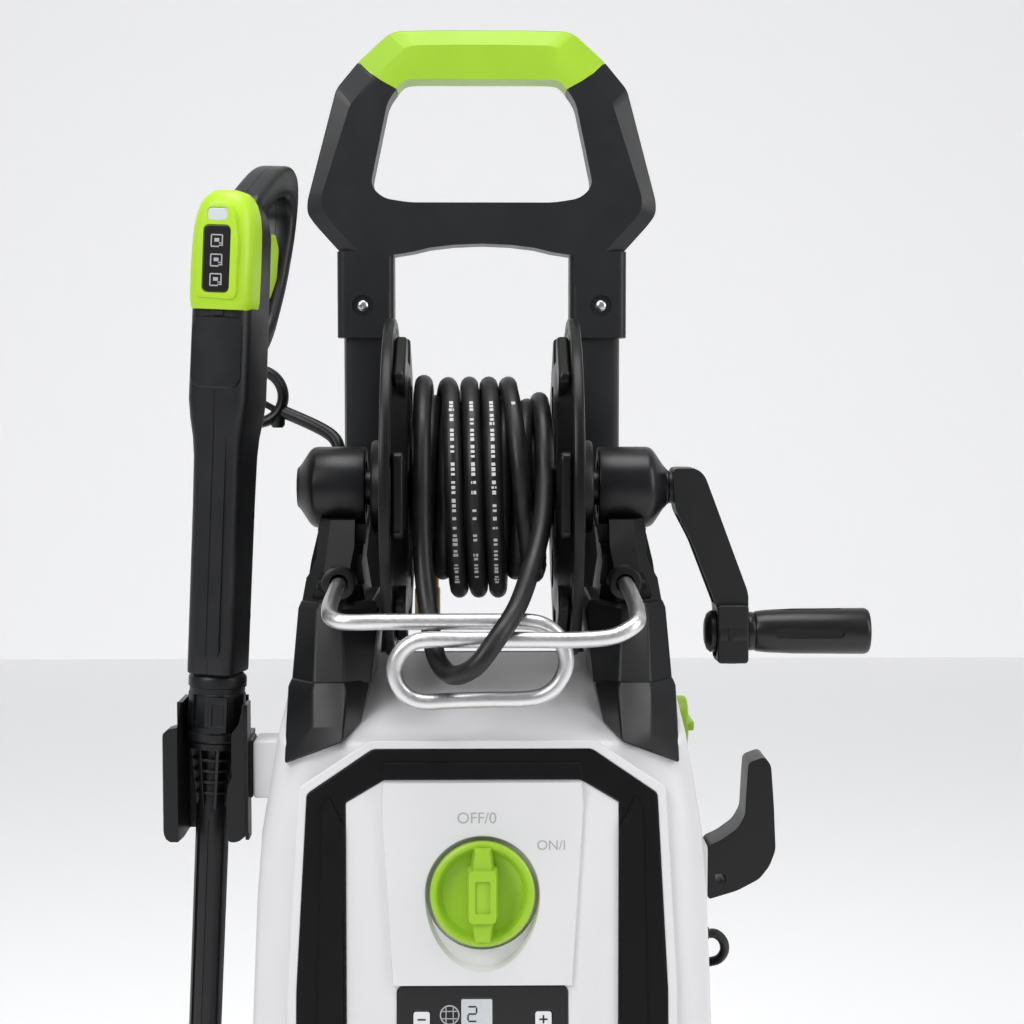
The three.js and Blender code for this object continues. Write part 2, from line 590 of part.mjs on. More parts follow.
add('handle_grip', handleGrip(), 'limePlastic');
add('handle_loop', handleLoop(), 'blackPlastic');
const tubeTop = handleTopZ + sleeveBottom + 44;
const tubeBottom = handleTopZ + sleeveBottom - handleTravel - 170;
for (const [side, name] of [[-1, 'left'], [1, 'right']]) {
  const around = (width, depth, radius) => roundRect(side * tubeCentreX - width / 2, handleY - depth / 2,
    side * tubeCentreX + width / 2, handleY + depth / 2, radius);
  add(`handle_tube_${name}`, slab(around(tubeWidth, tubeDepth, 6), 'z', tubeBottom, tubeTop, 0,
    [around(tubeWidth - 4, tubeDepth - 4, 4)]), 'greyPlastic');
  const clear = 0.6;
  add(`tube_socket_${name}`, slab(around(tubeWidth + 9, sleeveDepth, 6), 'z', tubeBottom - handleTravel - 12,
    socketTopZ, 0, [around(tubeWidth + 2 * clear, tubeDepth + 2 * clear, 6)]), 'blackPlastic');
}

// ---- Handle lock knob, on the right side of the rear shell ----
const lockZ = bodyHeight - 53;
const lockY = 66;
const lockBase = sideHalfAt(lockZ - 19);
const lockKnob = join(
  turned([[0, lockBase + gap], [17, lockBase + gap], [19, lockBase + 2], [19, lockBase + 8],
    [17, lockBase + 10], [0, lockBase + 10]], 'x', 24),
  box([lockBase + 5, -17, -3.5], [lockBase + 14, 17, 3.5]));
add('handle_lock_knob', lockKnob.translate(0, lockY, lockZ), 'limePlastic');

// ---- Cable hook on the right side ----
const hookOutline = [[0, -18], [35, -4], [46, 16], [42.5, 74], [38, 80], [27, 76], [25, 37], [9, 23], [0, 19]];
add('cable_hook', slab(hookOutline, 'y', -16.5, 16.5, 2).translate(hookX + gap, hookY, hookZ), 'blackPlastic');

// ---- Gun holder on the left side ----
const gunX = -170;
const gunY = -60;
const nutZ = bodyHeight - 20;
const holderBottom = nutZ - 83;

function gunHolder() {
  const plan = [[-23.5, 22], [-23.5, -8], [-32, -20], [-31, -24], [-22, -24], [-20.5, -8], [-20.5, 19.5],
    [19.7, 19.5], [19.7, -21], [6, -22], [6, -25], [20, -25], [22, -22], [22, 22]];
  const channel = slab(plan, 'z', holderBottom, nutZ + 4);
  const above = slab([[-40, nutZ - 11], [-24, nutZ - 11], [-20, nutZ + 10], [-40, nutZ + 10]], 'y', -40, -9);
  const pad = box([21, -13, holderBottom + 26], [24, 13, nutZ - 20]);
  return join(cut(channel, above), pad).translate(gunX, gunY, 0);
}

const holderFace = gunX + 24;
const arm = box([holderFace + gap, gunY - 15, holderBottom + 26], [-shoulderHalf + 6, gunY + 15, nutZ - 20]);
add('gun_holder', gunHolder(), 'blackPlastic');
add('gun_bracket', cut(arm, frontSolid(gap)), 'whitePlastic');

// ---- Spray gun, drawn upright about its lance axis and then turned and tilted ----
const gun = new THREE.Group();
gun.position.set(gunX, gunY, nutZ);
gun.rotation.set(0, THREE.MathUtils.degToRad(gunTilt), 0);
const turnedGun = new THREE.Group();
turnedGun.rotation.z = -THREE.MathUtils.degToRad(gunTurn);
gun.add(turnedGun);
washer.add(gun);
const bodyFoot = 22;
const bodyTop = 326;

function gunRing(z, width, depth, offset = 0, corner = 7) {
  return roundRect(-width / 2 - offset, -depth / 2 - offset, width / 2 + offset, depth / 2 + offset, corner + offset)
    .map(([x, y]) => new THREE.Vector3(x, y, z));
}

function gunBarrel(offset) {
  return loft([
    gunRing(bodyFoot - offset, 29, 38, offset), gunRing(bodyFoot + 3, 31, 41, offset), gunRing(130, 31, 44, offset),
    gunRing(168, 32, 46, offset), gunRing(196, 39, 50, offset), gunRing(300, 38, 50, offset),
    gunRing(318, 33, 44, offset), gunRing(bodyTop + offset, 22, 32, offset)]);
}

const gripLoop = [[10, 214], [34, 216], [62, 236], [86, 274], [103, 314], [104, 334], [92, 346], [62, 342],
  [30, 330], [10, 318]];
const gripHole = [[30, 242], [34, 238], [52, 250], [72, 284], [82, 308], [72, 312], [44, 302], [30, 292]];
const triggerPivot = [27, 296];

function gunBody() {
  const loop = slab(gripLoop, 'x', -13, 13, 5, [gripHole]);
  const slot = box([-8, 20, 256], [8, 50, 308]);
  return cut(join(gunBarrel(0), loop), slot);
}

const gunHalf = (side) => common(gunBody(), box(
  side > 0 ? [gap / 2, -60, 0] : [-60, -60, 0], side > 0 ? [60, 160, 400] : [-gap / 2, 160, 400]));
const coverFrom = 254;

function topCover() {
  const skin = loft([gunRing(coverFrom, 40, 58, 0, 8), gunRing(300, 39, 57, 0, 8), gunRing(320, 34, 50, 0, 8),
    gunRing(bodyTop + 5, 22, 40, 0, 8)]);
  return cut(common(skin, box([-40, -60, coverFrom], [40, -4, 400])), gunBarrel(gap));
}

function trigger() {
  return slab([[22, 302], [40, 299], [64, 296], [72, 290], [70, 284], [50, 284], [34, 272], [26, 262],
    [22, 264], [27, 280]], 'x', -7, 7, 2);
}

add('gun_body_left', gunHalf(-1), 'blackPlastic', turnedGun);
add('gun_body_right', gunHalf(1), 'blackPlastic', turnedGun);
add('gun_top_cover', topCover(), 'limePlastic', turnedGun);
const displayPlate = slab(roundRect(-8.5, 268, 8.5, 310, 3), 'y', -30.8, -29 - gap, 0);
add('gun_display', displayPlate, 'blackPlastic', turnedGun);
add('trigger', trigger(), 'limePlastic', turnedGun);

function lanceNut() {
  const profile = [[0, -22], [nutRadius - 1.5, -22], [nutRadius, -20], [nutRadius, 19], [nutRadius - 2, bodyFoot - gap],
    [0, bodyFoot - gap]];
  const grooves = Array.from({ length: 6 }, (_, i) =>
    box([nutRadius - 2, -4, -14], [nutRadius + 5, 4, 12]).rotateZ((i * Math.PI) / 3));
  return cut(turned(profile, 'z', 24), ...grooves);
}

function lanceTube() {
  const collar = turned([[0, -38], [12, -38], [17.5, -27], [17.5, -22 - gap], [0, -22 - gap]], 'z', 24);
  const shaft = turned([[0, -395], [lanceRadius - 1.5, -395], [lanceRadius, -340], [lanceRadius + 0.6, -90],
    [15, -40], [0, -40]], 'z', 20);
  return join(collar, shaft, rod(11, -41, -37, 'z', 20));
}

add('lance_nut', lanceNut(), 'blackPlastic', gun);
add('lance_tube', lanceTube(), 'blackPlastic', gun);
const nozzle = turned([[0, -432], [7, -432], [10, -426], [11, -402], [9.5, -395 - gap], [0, -395 - gap]], 'z', 20);
add('spray_nozzle', nozzle, 'blackPlastic', gun);

// ---- Accessory ring behind the gun ----
function accessoryPeg() {
  const hoop = new THREE.TorusGeometry(19, 3.2, 6, 14).rotateX(Math.PI / 2).translate(-158, 76, reelZ + 60);
  const stem = bar([[-146, 76, reelZ + 46], [-128, 70, reelZ + 39], [-110, 62, reelZ + 32], [-100, 56, reelZ + 20],
    [-98, 52.5, reelZ - 4], [-98, 52.5, reelZ - 50]], 8, 8, 14);
  return join(outward(mergeVertices(stripped(hoop), 1e-3)), stem);
}

add('accessory_ring', accessoryPeg(), 'blackPlastic');

// ---- Wheels ----
function wheel(side) {
  const tyre = wheelDiameter / 2;
  const inner = wheelInnerX;
  const outer = wheelInnerX + wheelWidth;
  const bore = wheelAxleRadius + gap;
  const profile = [[bore, inner - 4], [20, inner - 4], [24, inner + 8], [tyre - 26, inner + 8], [tyre - 22, inner],
    [tyre - 4, inner], [tyre, inner + 5], [tyre, outer - 5], [tyre - 4, outer], [tyre - 22, outer],
    [tyre - 26, outer - 8], [24, outer - 8], [20, outer - 1], [bore, outer - 1], [bore, inner - 4]];
  return turned(profile.map(([r, x]) => [r, side * x]), 'x', 24).translate(0, wheelY, axleZ);
}

const axleEnd = wheelInnerX + wheelWidth + 3;
add('wheel_axle', rod(wheelAxleRadius, -axleEnd, axleEnd, 'x', 20).translate(0, wheelY, axleZ), 'steel');
add('wheel_left', wheel(-1), 'blackPlastic');
add('wheel_right', wheel(1), 'blackPlastic');

// ---- Water inlet at the lower back ----
const inlet = turned([[0, 0], [13, 0], [13, 10], [9, 12], [9, 26], [6, 28], [0, 28]], 'y', 24);
add('water_inlet', inlet.translate(0, casingBackY + gap, 175), 'brass');

// ---- Mains cord: gland, free stretch, coil on the floor, and plug ----
const cordRoute = [
  [162.6, 75, 376], [167, 75, 375.5], [172, 76, 371], [174, 79, 363], [171, 84, 355], [164, 92, 350],
  [155, 104, 346], [147, 118, 338], [138, 130, 322], [130, 137, 300], [125, 141, 270], [122, 145, 230],
  [120, 151, 185], [118, 160, 135], [115, 174, 85], [111, 192, 43], [106, 213, 16], [100, 238, 4.6],
  [94, 262, 4.2], [90.5, 284, 4.2]];
const glandBase = sideHalfAt(cordExit.z) + gap;
const gland = turned([[0, glandBase], [8, glandBase], [8, glandBase + 3], [6, glandBase + 4],
  [4.4, cordRoute[0][0] - 3 * gap], [0, cordRoute[0][0] - 3 * gap]], 'x', 20);
add('cord_gland', gland.translate(0, cordExit.y, cordExit.z), 'rubber', looseParts);
add('power_cord', bar(cordRoute, cordDiameter, 8, 40), 'rubber', looseParts);
const cordCoil = ring(26, 54, 0.2, 28.3, 'z', 24);
add('cord_coil', cordCoil.translate(30, 300, 0), 'rubber', looseParts);
const cordTail = [[30, 358.4, 4], [8, 355.8, 4], [-14, 344, 4], [-30, 326, 4.5], [-43, 313, 6.5], [-56, 308, 9]];
add('cord_tail', bar(cordTail, cordDiameter, 8, 12), 'rubber', looseParts);

function plug() {
  const body = slab(roundRect(-96, 296, -57 + -gap, 320, 7), 'z', 0.3, 18, 3);
  const pins = [302, 314].map((y) => rod(2.4, -114, -95, 'x', 12).translate(0, y, 9));
  return join(body, ...pins);
}

add('power_plug', plug(), 'rubber', looseParts);

// ---- Origin: the middle of the footprint, on the floor ----
washer.updateMatrixWorld(true);
const bounds = new THREE.Box3();
washer.traverse((item) => {
  if (item.isMesh && item.parent !== looseParts) bounds.expandByObject(item, true);
});
const middle = bounds.getCenter(new THREE.Vector3());
washer.position.set(-middle.x, -middle.y, -bounds.min.z);
washer.updateMatrixWorld(true);

export default washer;
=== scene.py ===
"""The looks of the upright pressure washer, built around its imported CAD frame.

Lengths are in millimetres: x from the middle of the reel, y from its axis towards the back, z from
the floor. at() and to_row() turn them into the row frame's metres.
"""

import math

import bmesh
import bpy
from mathutils import Matrix, Vector


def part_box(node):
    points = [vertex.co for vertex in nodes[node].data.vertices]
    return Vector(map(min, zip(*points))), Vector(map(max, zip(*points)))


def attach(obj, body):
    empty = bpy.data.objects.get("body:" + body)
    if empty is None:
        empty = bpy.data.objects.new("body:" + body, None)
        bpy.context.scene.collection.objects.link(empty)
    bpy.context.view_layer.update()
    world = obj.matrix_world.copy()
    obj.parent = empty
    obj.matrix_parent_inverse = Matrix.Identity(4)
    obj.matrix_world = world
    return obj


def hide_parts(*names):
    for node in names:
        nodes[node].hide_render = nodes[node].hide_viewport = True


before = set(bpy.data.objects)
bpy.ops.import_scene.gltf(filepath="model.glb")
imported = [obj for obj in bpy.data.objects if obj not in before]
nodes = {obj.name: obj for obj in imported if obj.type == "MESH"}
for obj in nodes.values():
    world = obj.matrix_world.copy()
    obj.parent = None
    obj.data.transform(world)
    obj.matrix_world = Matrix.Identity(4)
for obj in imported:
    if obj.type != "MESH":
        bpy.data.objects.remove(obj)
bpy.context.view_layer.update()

MM = 0.001
drum_low, drum_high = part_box("reel_drum")
origin = Vector(((drum_low.x + drum_high.x) / 2, (drum_low.y + drum_high.y) / 2, 0))
REEL_Z = (drum_low.z + drum_high.z) / 2 / MM
to_row = Matrix.Translation(origin) @ Matrix.Scale(MM, 4)


def at(x, y, z):
    return to_row @ Vector((x, y, z))


# ---- Camera, in front of the reel and a little above it ----
CAMERA_DISTANCE = 1333
CAMERA_HEIGHT = 69.3
CAMERA_DOWN, CAMERA_TURN = 3.69, -0.859
camera_data = bpy.data.cameras.new("camera")
camera_data.lens = 70.3
camera_data.clip_end = 50
camera = bpy.data.objects.new("camera", camera_data)
bpy.context.scene.collection.objects.link(camera)
camera.location = at(0, -CAMERA_DISTANCE, REEL_Z + CAMERA_HEIGHT)
camera.rotation_euler = (math.radians(90 - CAMERA_DOWN), 0, math.radians(CAMERA_TURN))
bpy.context.scene.camera = camera


# ---- Materials ----
def new_material(name, colour, roughness, metallic=0.0):
    material = bpy.data.materials.new(name)
    material.use_nodes = True
    shader = material.node_tree.nodes["Principled BSDF"]
    shader.inputs["Base Color"].default_value = (*colour, 1)
    shader.inputs["Roughness"].default_value = roughness
    shader.inputs["Metallic"].default_value = metallic
    return material, material.node_tree, shader


def noise(tree, scale, detail=3.0, stretch=None):
    coordinates = tree.nodes.new("ShaderNodeTexCoord")
    texture = tree.nodes.new("ShaderNodeTexNoise")
    texture.inputs["Scale"].default_value = scale
    texture.inputs["Detail"].default_value = detail
    source = coordinates.outputs["Object"]
    if stretch:
        mapping = tree.nodes.new("ShaderNodeMapping")
        mapping.inputs["Scale"].default_value = stretch
        tree.links.new(source, mapping.inputs["Vector"])
        source = mapping.outputs["Vector"]
    tree.links.new(source, texture.inputs["Vector"])
    return texture.outputs["Fac"]


def spread(tree, value, low, high):
    """The 0 to 1 value as a number from low to high, with its middle stretched out."""
    ramp = tree.nodes.new("ShaderNodeMapRange")
    ramp.inputs["From Min"].default_value = 0.3
    ramp.inputs["From Max"].default_value = 0.7
    ramp.inputs["To Min"].default_value = low
    ramp.inputs["To Max"].default_value = high
    tree.links.new(value, ramp.inputs["Value"])
    return ramp.outputs["Result"]


def tint(tree, shader, value, dark, light):
    mix = tree.nodes.new("ShaderNodeMix")
    mix.data_type = "RGBA"
    mix.inputs["A"].default_value = (*dark, 1)
    mix.inputs["B"].default_value = (*light, 1)
    tree.links.new(value, mix.inputs["Factor"])
    tree.links.new(mix.outputs["Result"], shader.inputs["Base Color"])


def bump(tree, shader, value, strength, distance):
    node = tree.nodes.new("ShaderNodeBump")
    node.inputs["Strength"].default_value = strength
    node.inputs["Distance"].default_value = distance
    tree.links.new(value, node.inputs["Height"])
    tree.links.new(node.outputs["Normal"], shader.inputs["Normal"])


def plastic(name, colour, roughness, grain=1400, depth=0.00006, variation=0.06, coat=0.0, specular=0.4):
    """Moulded plastic: a fine spark-eroded grain, uneven gloss and faint mottling."""
    material, tree, shader = new_material(name, colour, roughness)
    shader.inputs["Specular IOR Level"].default_value = specular
    mottle = noise(tree, 22, 4)
    dark = [c * (1 - variation) for c in colour]
    light = [min(1, c * (1 + variation)) for c in colour]
    tint(tree, shader, spread(tree, mottle, 0, 1), dark, light)
    uneven = noise(tree, 60, 5)
    tree.links.new(spread(tree, uneven, roughness * 0.9, min(1, roughness * 1.1)), shader.inputs["Roughness"])
    bump(tree, shader, noise(tree, grain, 2), 0.5, depth)
    shader.inputs["Coat Weight"].default_value = coat
    shader.inputs["Coat Roughness"].default_value = 0.25
    return material


def metal(name, colour, roughness, stretch=(1, 1, 1), grain=900, depth=0.00003):
    """Metal with a fine drawn or blasted grain."""
    material, tree, shader = new_material(name, colour, roughness, 1.0)
    fine = noise(tree, grain, 3, stretch)
    tree.links.new(spread(tree, fine, roughness * 0.8, min(1, roughness * 1.25)), shader.inputs["Roughness"])
    bump(tree, shader, fine, 0.35, depth)
    dull = noise(tree, 35, 4)
    tint(tree, shader, spread(tree, dull, 0, 1), [c * 0.94 for c in colour], colour)
    return material


WHITE = plastic("white_plastic", (0.71, 0.705, 0.72), 0.38, grain=1700, depth=0.00003, variation=0.012,
                coat=0.1)
BLACK = plastic("black_plastic", (0.0075, 0.0078, 0.0085), 0.36, grain=1500, depth=0.00005, specular=0.34)
TRIM = plastic("trim_plastic", (0.0035, 0.0035, 0.0038), 0.38, grain=1800, depth=0.00003, specular=0.2)
REEL = plastic("reel_plastic", (0.004, 0.004, 0.0045), 0.36, grain=1000, depth=0.00003, specular=0.28)
HUB = plastic("hub_plastic", (0.007, 0.0072, 0.0085), 0.34, grain=1300, depth=0.00005)
CRANK = plastic("crank_plastic", (0.008, 0.0082, 0.0088), 0.4, grain=1500, depth=0.00007)
GRIP = plastic("grip_plastic", (0.0055, 0.0055, 0.0055), 0.32, grain=1500, depth=0.00005)
HANDLE = plastic("handle_plastic", (0.012, 0.0125, 0.014), 0.38, grain=1300, depth=0.00007)
GUN = plastic("gun_plastic", (0.007, 0.0074, 0.0085), 0.37, grain=1500, depth=0.00006)
LIME = plastic("lime_plastic", (0.33, 0.56, 0.03), 0.36, grain=1500, depth=0.00004, variation=0.03,
               coat=0.1)
GUN_LIME = plastic("gun_lime_plastic", (0.42, 0.68, 0.02), 0.36, grain=1500, depth=0.00004, variation=0.03,
                   coat=0.1)
GLOSS = plastic("gloss_black", (0.004, 0.004, 0.0045), 0.12, grain=300, depth=0.00001, variation=0.1,
                coat=0.5)
RUBBER = plastic("wheel_rubber", (0.009, 0.009, 0.009), 0.7, grain=800, depth=0.0002)
LENS = plastic("lens", (0.62, 0.66, 0.68), 0.12, grain=300, depth=0.00001, variation=0.03, coat=0.5)
SCREEN = plastic("screen", (0.55, 0.58, 0.6), 0.3, grain=400, depth=0.00001, variation=0.04)
MARK = plastic("mark_ink", (0.4, 0.4, 0.41), 0.5, grain=900, depth=0.00002, variation=0.05)
INK = plastic("hose_ink", (0.6, 0.6, 0.6), 0.6, grain=900, depth=0.00003, variation=0.1)
ALUMINIUM = metal("satin_aluminium", (0.72, 0.715, 0.72), 0.36, grain=500, depth=0.000004)
STEEL = metal("steel", (0.6, 0.6, 0.61), 0.25, (1, 12, 12))
BRASS = metal("brass", (0.36, 0.27, 0.13), 0.34)
CAST = metal("cast_metal", (0.35, 0.36, 0.37), 0.5, grain=400, depth=0.0002)


def hose_rubber():
    """Black hose cover with the faint diagonal wrap lines of its cloth."""
    material, tree, shader = new_material("hose_rubber", (0.009, 0.009, 0.0098), 0.4)
    shader.inputs["Specular IOR Level"].default_value = 0.4
    wrap = tree.nodes.new("ShaderNodeTexWave")
    wrap.inputs["Scale"].default_value = 9
    wrap.inputs["Distortion"].default_value = 2.5
    wrap.inputs["Detail"].default_value = 2
    coordinates = tree.nodes.new("ShaderNodeTexCoord")
    tree.links.new(coordinates.outputs["Object"], wrap.inputs["Vector"])
    bump(tree, shader, wrap.outputs["Fac"], 0.25, 0.0002)
    uneven = noise(tree, 90, 5)
    tree.links.new(spread(tree, uneven, 0.36, 0.5), shader.inputs["Roughness"])
    tint(tree, shader, spread(tree, uneven, 0, 1), (0.007, 0.007, 0.008), (0.011, 0.011, 0.012))
    return material


HOSE = hose_rubber()
CORD = plastic("cord_rubber", (0.012, 0.012, 0.013), 0.5, grain=900, depth=0.00006)


# ---- Mesh helpers ----
def smoothed(obj, angle=32):
    mesh = obj.data
    mesh.shade_smooth()
    mesh.set_sharp_from_angle(angle=math.radians(angle))
    return obj


def bevelled(obj, width, segments=3, angle=28):
    modifier = obj.modifiers.new("bevel", "BEVEL")
    modifier.width = width * MM
    modifier.segments = segments
    modifier.limit_method = "ANGLE"
    modifier.angle_limit = math.radians(angle)
    modifier.miter_outer = "MITER_ARC"
    modifier.harden_normals = True
    obj.data.shade_smooth()
    return obj


def applied_bevel(obj, width, segments=4, angle=50):
    """Bevels the mesh itself, for a piece that is joined to another afterwards."""
    modifier = obj.modifiers.new("round", "BEVEL")
    modifier.width = width * MM
    modifier.segments = segments
    modifier.limit_method = "ANGLE"
    modifier.angle_limit = math.radians(angle)
    bpy.context.view_layer.update()
    graph = bpy.context.evaluated_depsgraph_get()
    mesh = bpy.data.meshes.new_from_object(obj.evaluated_get(graph))
    obj.modifiers.clear()
    obj.data = mesh
    return obj


def made(name, points, faces, place=None):
    """A mesh object from points in millimetres, placed by a matrix, with its faces pointing out."""
    mesh = bpy.data.meshes.new(name)
    mesh.from_pydata([tuple(p) for p in points], [], faces)
    obj = bpy.data.objects.new(name, mesh)
    bpy.context.scene.collection.objects.link(obj)
    mesh.transform(to_row @ (place or Matrix.Identity(4)))
    tidy(mesh)
    return obj


def tidy(mesh, merge=1e-6):
    bm = bmesh.new()
    bm.from_mesh(mesh)
    bmesh.ops.remove_doubles(bm, verts=bm.verts, dist=merge)
    bmesh.ops.recalc_face_normals(bm, faces=bm.faces)
    bm.to_mesh(mesh)
    bm.free()
    mesh.update()


AXES = {
    "x": Matrix(((0, 0, 1, 0), (1, 0, 0, 0), (0, 1, 0, 0), (0, 0, 0, 1))),
    "y": Matrix(((1, 0, 0, 0), (0, 0, 1, 0), (0, 1, 0, 0), (0, 0, 0, 1))),
    "z": Matrix.Identity(4),
}


def prism(name, outline, axis, low, high, place=None):
    """An outline of (y, z) for x, (x, z) for y or (x, y) for z, extruded along that axis."""
    count = len(outline)
    turn = AXES[axis]
    points = [turn @ Vector((a, b, h)) for h in (low, high) for a, b in outline]
    faces = [list(range(count)), list(range(count, 2 * count))]
    faces += [(i, (i + 1) % count, (i + 1) % count + count, i + count) for i in range(count)]
    return made(name, points, faces, place)


def frustum(name, lower, upper, low, high, place=None):
    """A plate drawn in x and z whose outline changes from lower at y=low to upper at y=high."""
    count = len(lower)
    points = [(a, low, b) for a, b in lower] + [(a, high, b) for a, b in upper]
    faces = [list(range(count)), list(range(count, 2 * count))]
    faces += [(i, (i + 1) % count, (i + 1) % count + count, i + count) for i in range(count)]
    return made(name, points, faces, place)


def block(name, low, high, place=None):
    outline = [(low[0], low[1]), (high[0], low[1]), (high[0], high[1]), (low[0], high[1])]
    return prism(name, outline, "z", low[2], high[2], place)


def skin(name, rings, place=None, closed=True):
    """A loft over rings with equal numbers of points."""
    count = len(rings[0])
    points = [p for ring in rings for p in ring]
    faces = []
    for level in range(len(rings) - 1):
        for i in range(count):
            j = (i + 1) % count
            a, b = level * count + i, level * count + j
            faces.append((a, b, b + count, a + count))
    if closed:
        faces.append(list(range(count)))
        faces.append([(len(rings) - 1) * count + i for i in range(count)])
    return made(name, points, faces, place)


def lathe(name, profile, axis, centre=(0, 0, 0), sides=96, place=None):
    """A profile of (radius, distance along the axis) turned about an axis through centre."""
    turn = AXES[axis]
    points, faces = [], []
    for radius, along in profile:
        for i in range(sides):
            angle = 2 * math.pi * i / sides
            spot = turn @ Vector((radius * math.cos(angle), radius * math.sin(angle), along))
            points.append(spot + Vector(centre))
    for level in range(len(profile) - 1):
        for i in range(sides):
            a, b = level * sides + i, level * sides + (i + 1) % sides
            faces.append((a, b, b + sides, a + sides))
    return made(name, points, faces, place)


def round_rect(a0, b0, a1, b1, radius, steps=5):
    corners = ((a1 - radius, b1 - radius), (a0 + radius, b1 - radius), (a0 + radius, b0 + radius),
               (a1 - radius, b0 + radius))
    points = []
    for quarter, (a, b) in enumerate(corners):
        for i in range(steps + 1):
            angle = (quarter + i / steps) * math.pi / 2
            points.append((a + radius * math.cos(angle), b + radius * math.sin(angle)))
    return points


def rounded(outline, radius, steps=4):
    """The outline with each corner turned into an arc-like curve."""
    points = []
    count = len(outline)
    for i in range(count):
        before, here, after = (Vector(outline[k % count]) for k in (i - 1, i, i + 1))
        reach_in = min(radius, (before - here).length * 0.45)
        reach_out = min(radius, (after - here).length * 0.45)
        start = here + (before - here).normalized() * reach_in
        end = here + (after - here).normalized() * reach_out
        for k in range(steps + 1):
            t = k / steps
            points.append(tuple(start * (1 - t) ** 2 + here * 2 * t * (1 - t) + end * t * t))
    return points


def circle(radius, centre_a=0.0, centre_b=0.0, steps=48):
    return [(centre_a + radius * math.cos(2 * math.pi * i / steps),
             centre_b + radius * math.sin(2 * math.pi * i / steps)) for i in range(steps)]


def spun(axis, angle, x=0.0, y=0.0, z=0.0):
    """A frame at a point, turned about an axis by an angle in degrees."""
    return Matrix.Translation((x, y, z)) @ Matrix.Rotation(math.radians(angle), 4, axis)


def both_sides(points):
    return points + [(-a, b) for a, b in reversed(points)]


def smooth_line(points, steps):
    """Points along a centripetal Catmull-Rom curve through the given ones."""
    spots = [Vector(p) for p in points]
    spots = [2 * spots[0] - spots[1]] + spots + [2 * spots[-1] - spots[-2]]
    line = []
    for i in range(1, len(spots) - 2):
        p0, p1, p2, p3 = spots[i - 1:i + 3]
        t0 = 0
        t1 = (p1 - p0).length ** 0.5
        t2 = t1 + (p2 - p1).length ** 0.5
        t3 = t2 + (p3 - p2).length ** 0.5
        for k in range(steps):
            t = t1 + (t2 - t1) * k / steps
            a1 = p0 * (t1 - t) / (t1 - t0) + p1 * (t - t0) / (t1 - t0)
            a2 = p1 * (t2 - t) / (t2 - t1) + p2 * (t - t1) / (t2 - t1)
            a3 = p2 * (t3 - t) / (t3 - t2) + p3 * (t - t2) / (t3 - t2)
            b1 = a1 * (t2 - t) / (t2 - t0) + a2 * (t - t0) / (t2 - t0)
            b2 = a2 * (t3 - t) / (t3 - t1) + a3 * (t - t1) / (t3 - t1)
            line.append(b1 * (t2 - t) / (t2 - t1) + b2 * (t - t1) / (t2 - t1))
    line.append(spots[-2])
    return line


def bar(name, points, diameter, steps=6, sides=20):
    """A round bar along a smooth line through the points, with flat ends."""
    line = smooth_line(points, steps)
    normal = Vector((0.3, 0.5, 0.81))
    rings = []
    for i, spot in enumerate(line):
        ahead = (line[min(i + 1, len(line) - 1)] - line[max(i - 1, 0)]).normalized()
        normal = (normal - ahead * normal.dot(ahead)).normalized()
        side = ahead.cross(normal)
        rings.append([spot + (normal * math.cos(2 * math.pi * k / sides) + side
                              * math.sin(2 * math.pi * k / sides)) * diameter / 2 for k in range(sides)])
    return skin(name, rings)


def hose_curve(name, line, diameter, material):
    """A tube as a curve of one open spline through points in millimetres."""
    data = bpy.data.curves.new(name, "CURVE")
    data.dimensions = "3D"
    data.bevel_depth = diameter / 2 * MM
    data.bevel_resolution = 5
    data.use_fill_caps = True
    spline = data.splines.new("POLY")
    spline.points.add(len(line) - 1)
    for point, spot in zip(spline.points, line):
        point.co = (*at(*spot), 1)
    spline.use_smooth = True
    obj = bpy.data.objects.new(name, data)
    bpy.context.scene.collection.objects.link(obj)
    obj.data.materials.append(material)
    return obj


def carve(obj, *cutters, how="DIFFERENCE"):
    """Applies a boolean with each cutter and deletes the cutters."""
    for cutter in cutters:
        modifier = obj.modifiers.new("carve", "BOOLEAN")
        modifier.operation = how
        modifier.solver = "EXACT"
        modifier.object = cutter
        bpy.context.view_layer.update()
        graph = bpy.context.evaluated_depsgraph_get()
        mesh = bpy.data.meshes.new_from_object(obj.evaluated_get(graph))
        obj.modifiers.clear()
        old = obj.data
        obj.data = mesh
        bpy.data.meshes.remove(old)
        bpy.data.objects.remove(cutter)
    return obj


def copied(node):
    """A free copy of a CAD node's solid, with its triangles joined into flat faces."""
    mesh = nodes[node].data.copy()
    mesh.materials.clear()
    if "custom_normal" in mesh.attributes:
        mesh.attributes.remove(mesh.attributes["custom_normal"])
    obj = bpy.data.objects.new(node + "_look", mesh)
    bpy.context.scene.collection.objects.link(obj)
    bm = bmesh.new()
    bm.from_mesh(mesh)
    bmesh.ops.remove_doubles(bm, verts=bm.verts, dist=2e-5)
    bmesh.ops.dissolve_limit(bm, angle_limit=math.radians(1.2), verts=bm.verts, edges=bm.edges)
    bmesh.ops.recalc_face_normals(bm, faces=bm.faces)
    for edge in bm.edges:
        edge.smooth = True
    bm.to_mesh(mesh)
    bm.free()
    return obj


def placed(obj, material, body, slot, *replaced):
    """Gives a piece its material and body, and hides the CAD nodes that it stands for; its slot is not used.
    """
    if obj.type == "MESH":
        obj.data.materials.clear()
        obj.data.materials.append(material)
    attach(obj, body)
    if replaced:
        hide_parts(*replaced)
    return obj


def refined(node, width, material, body, slot, segments=3, angle=28):
    return placed(bevelled(copied(node), width, segments, angle), material, body, slot, node)


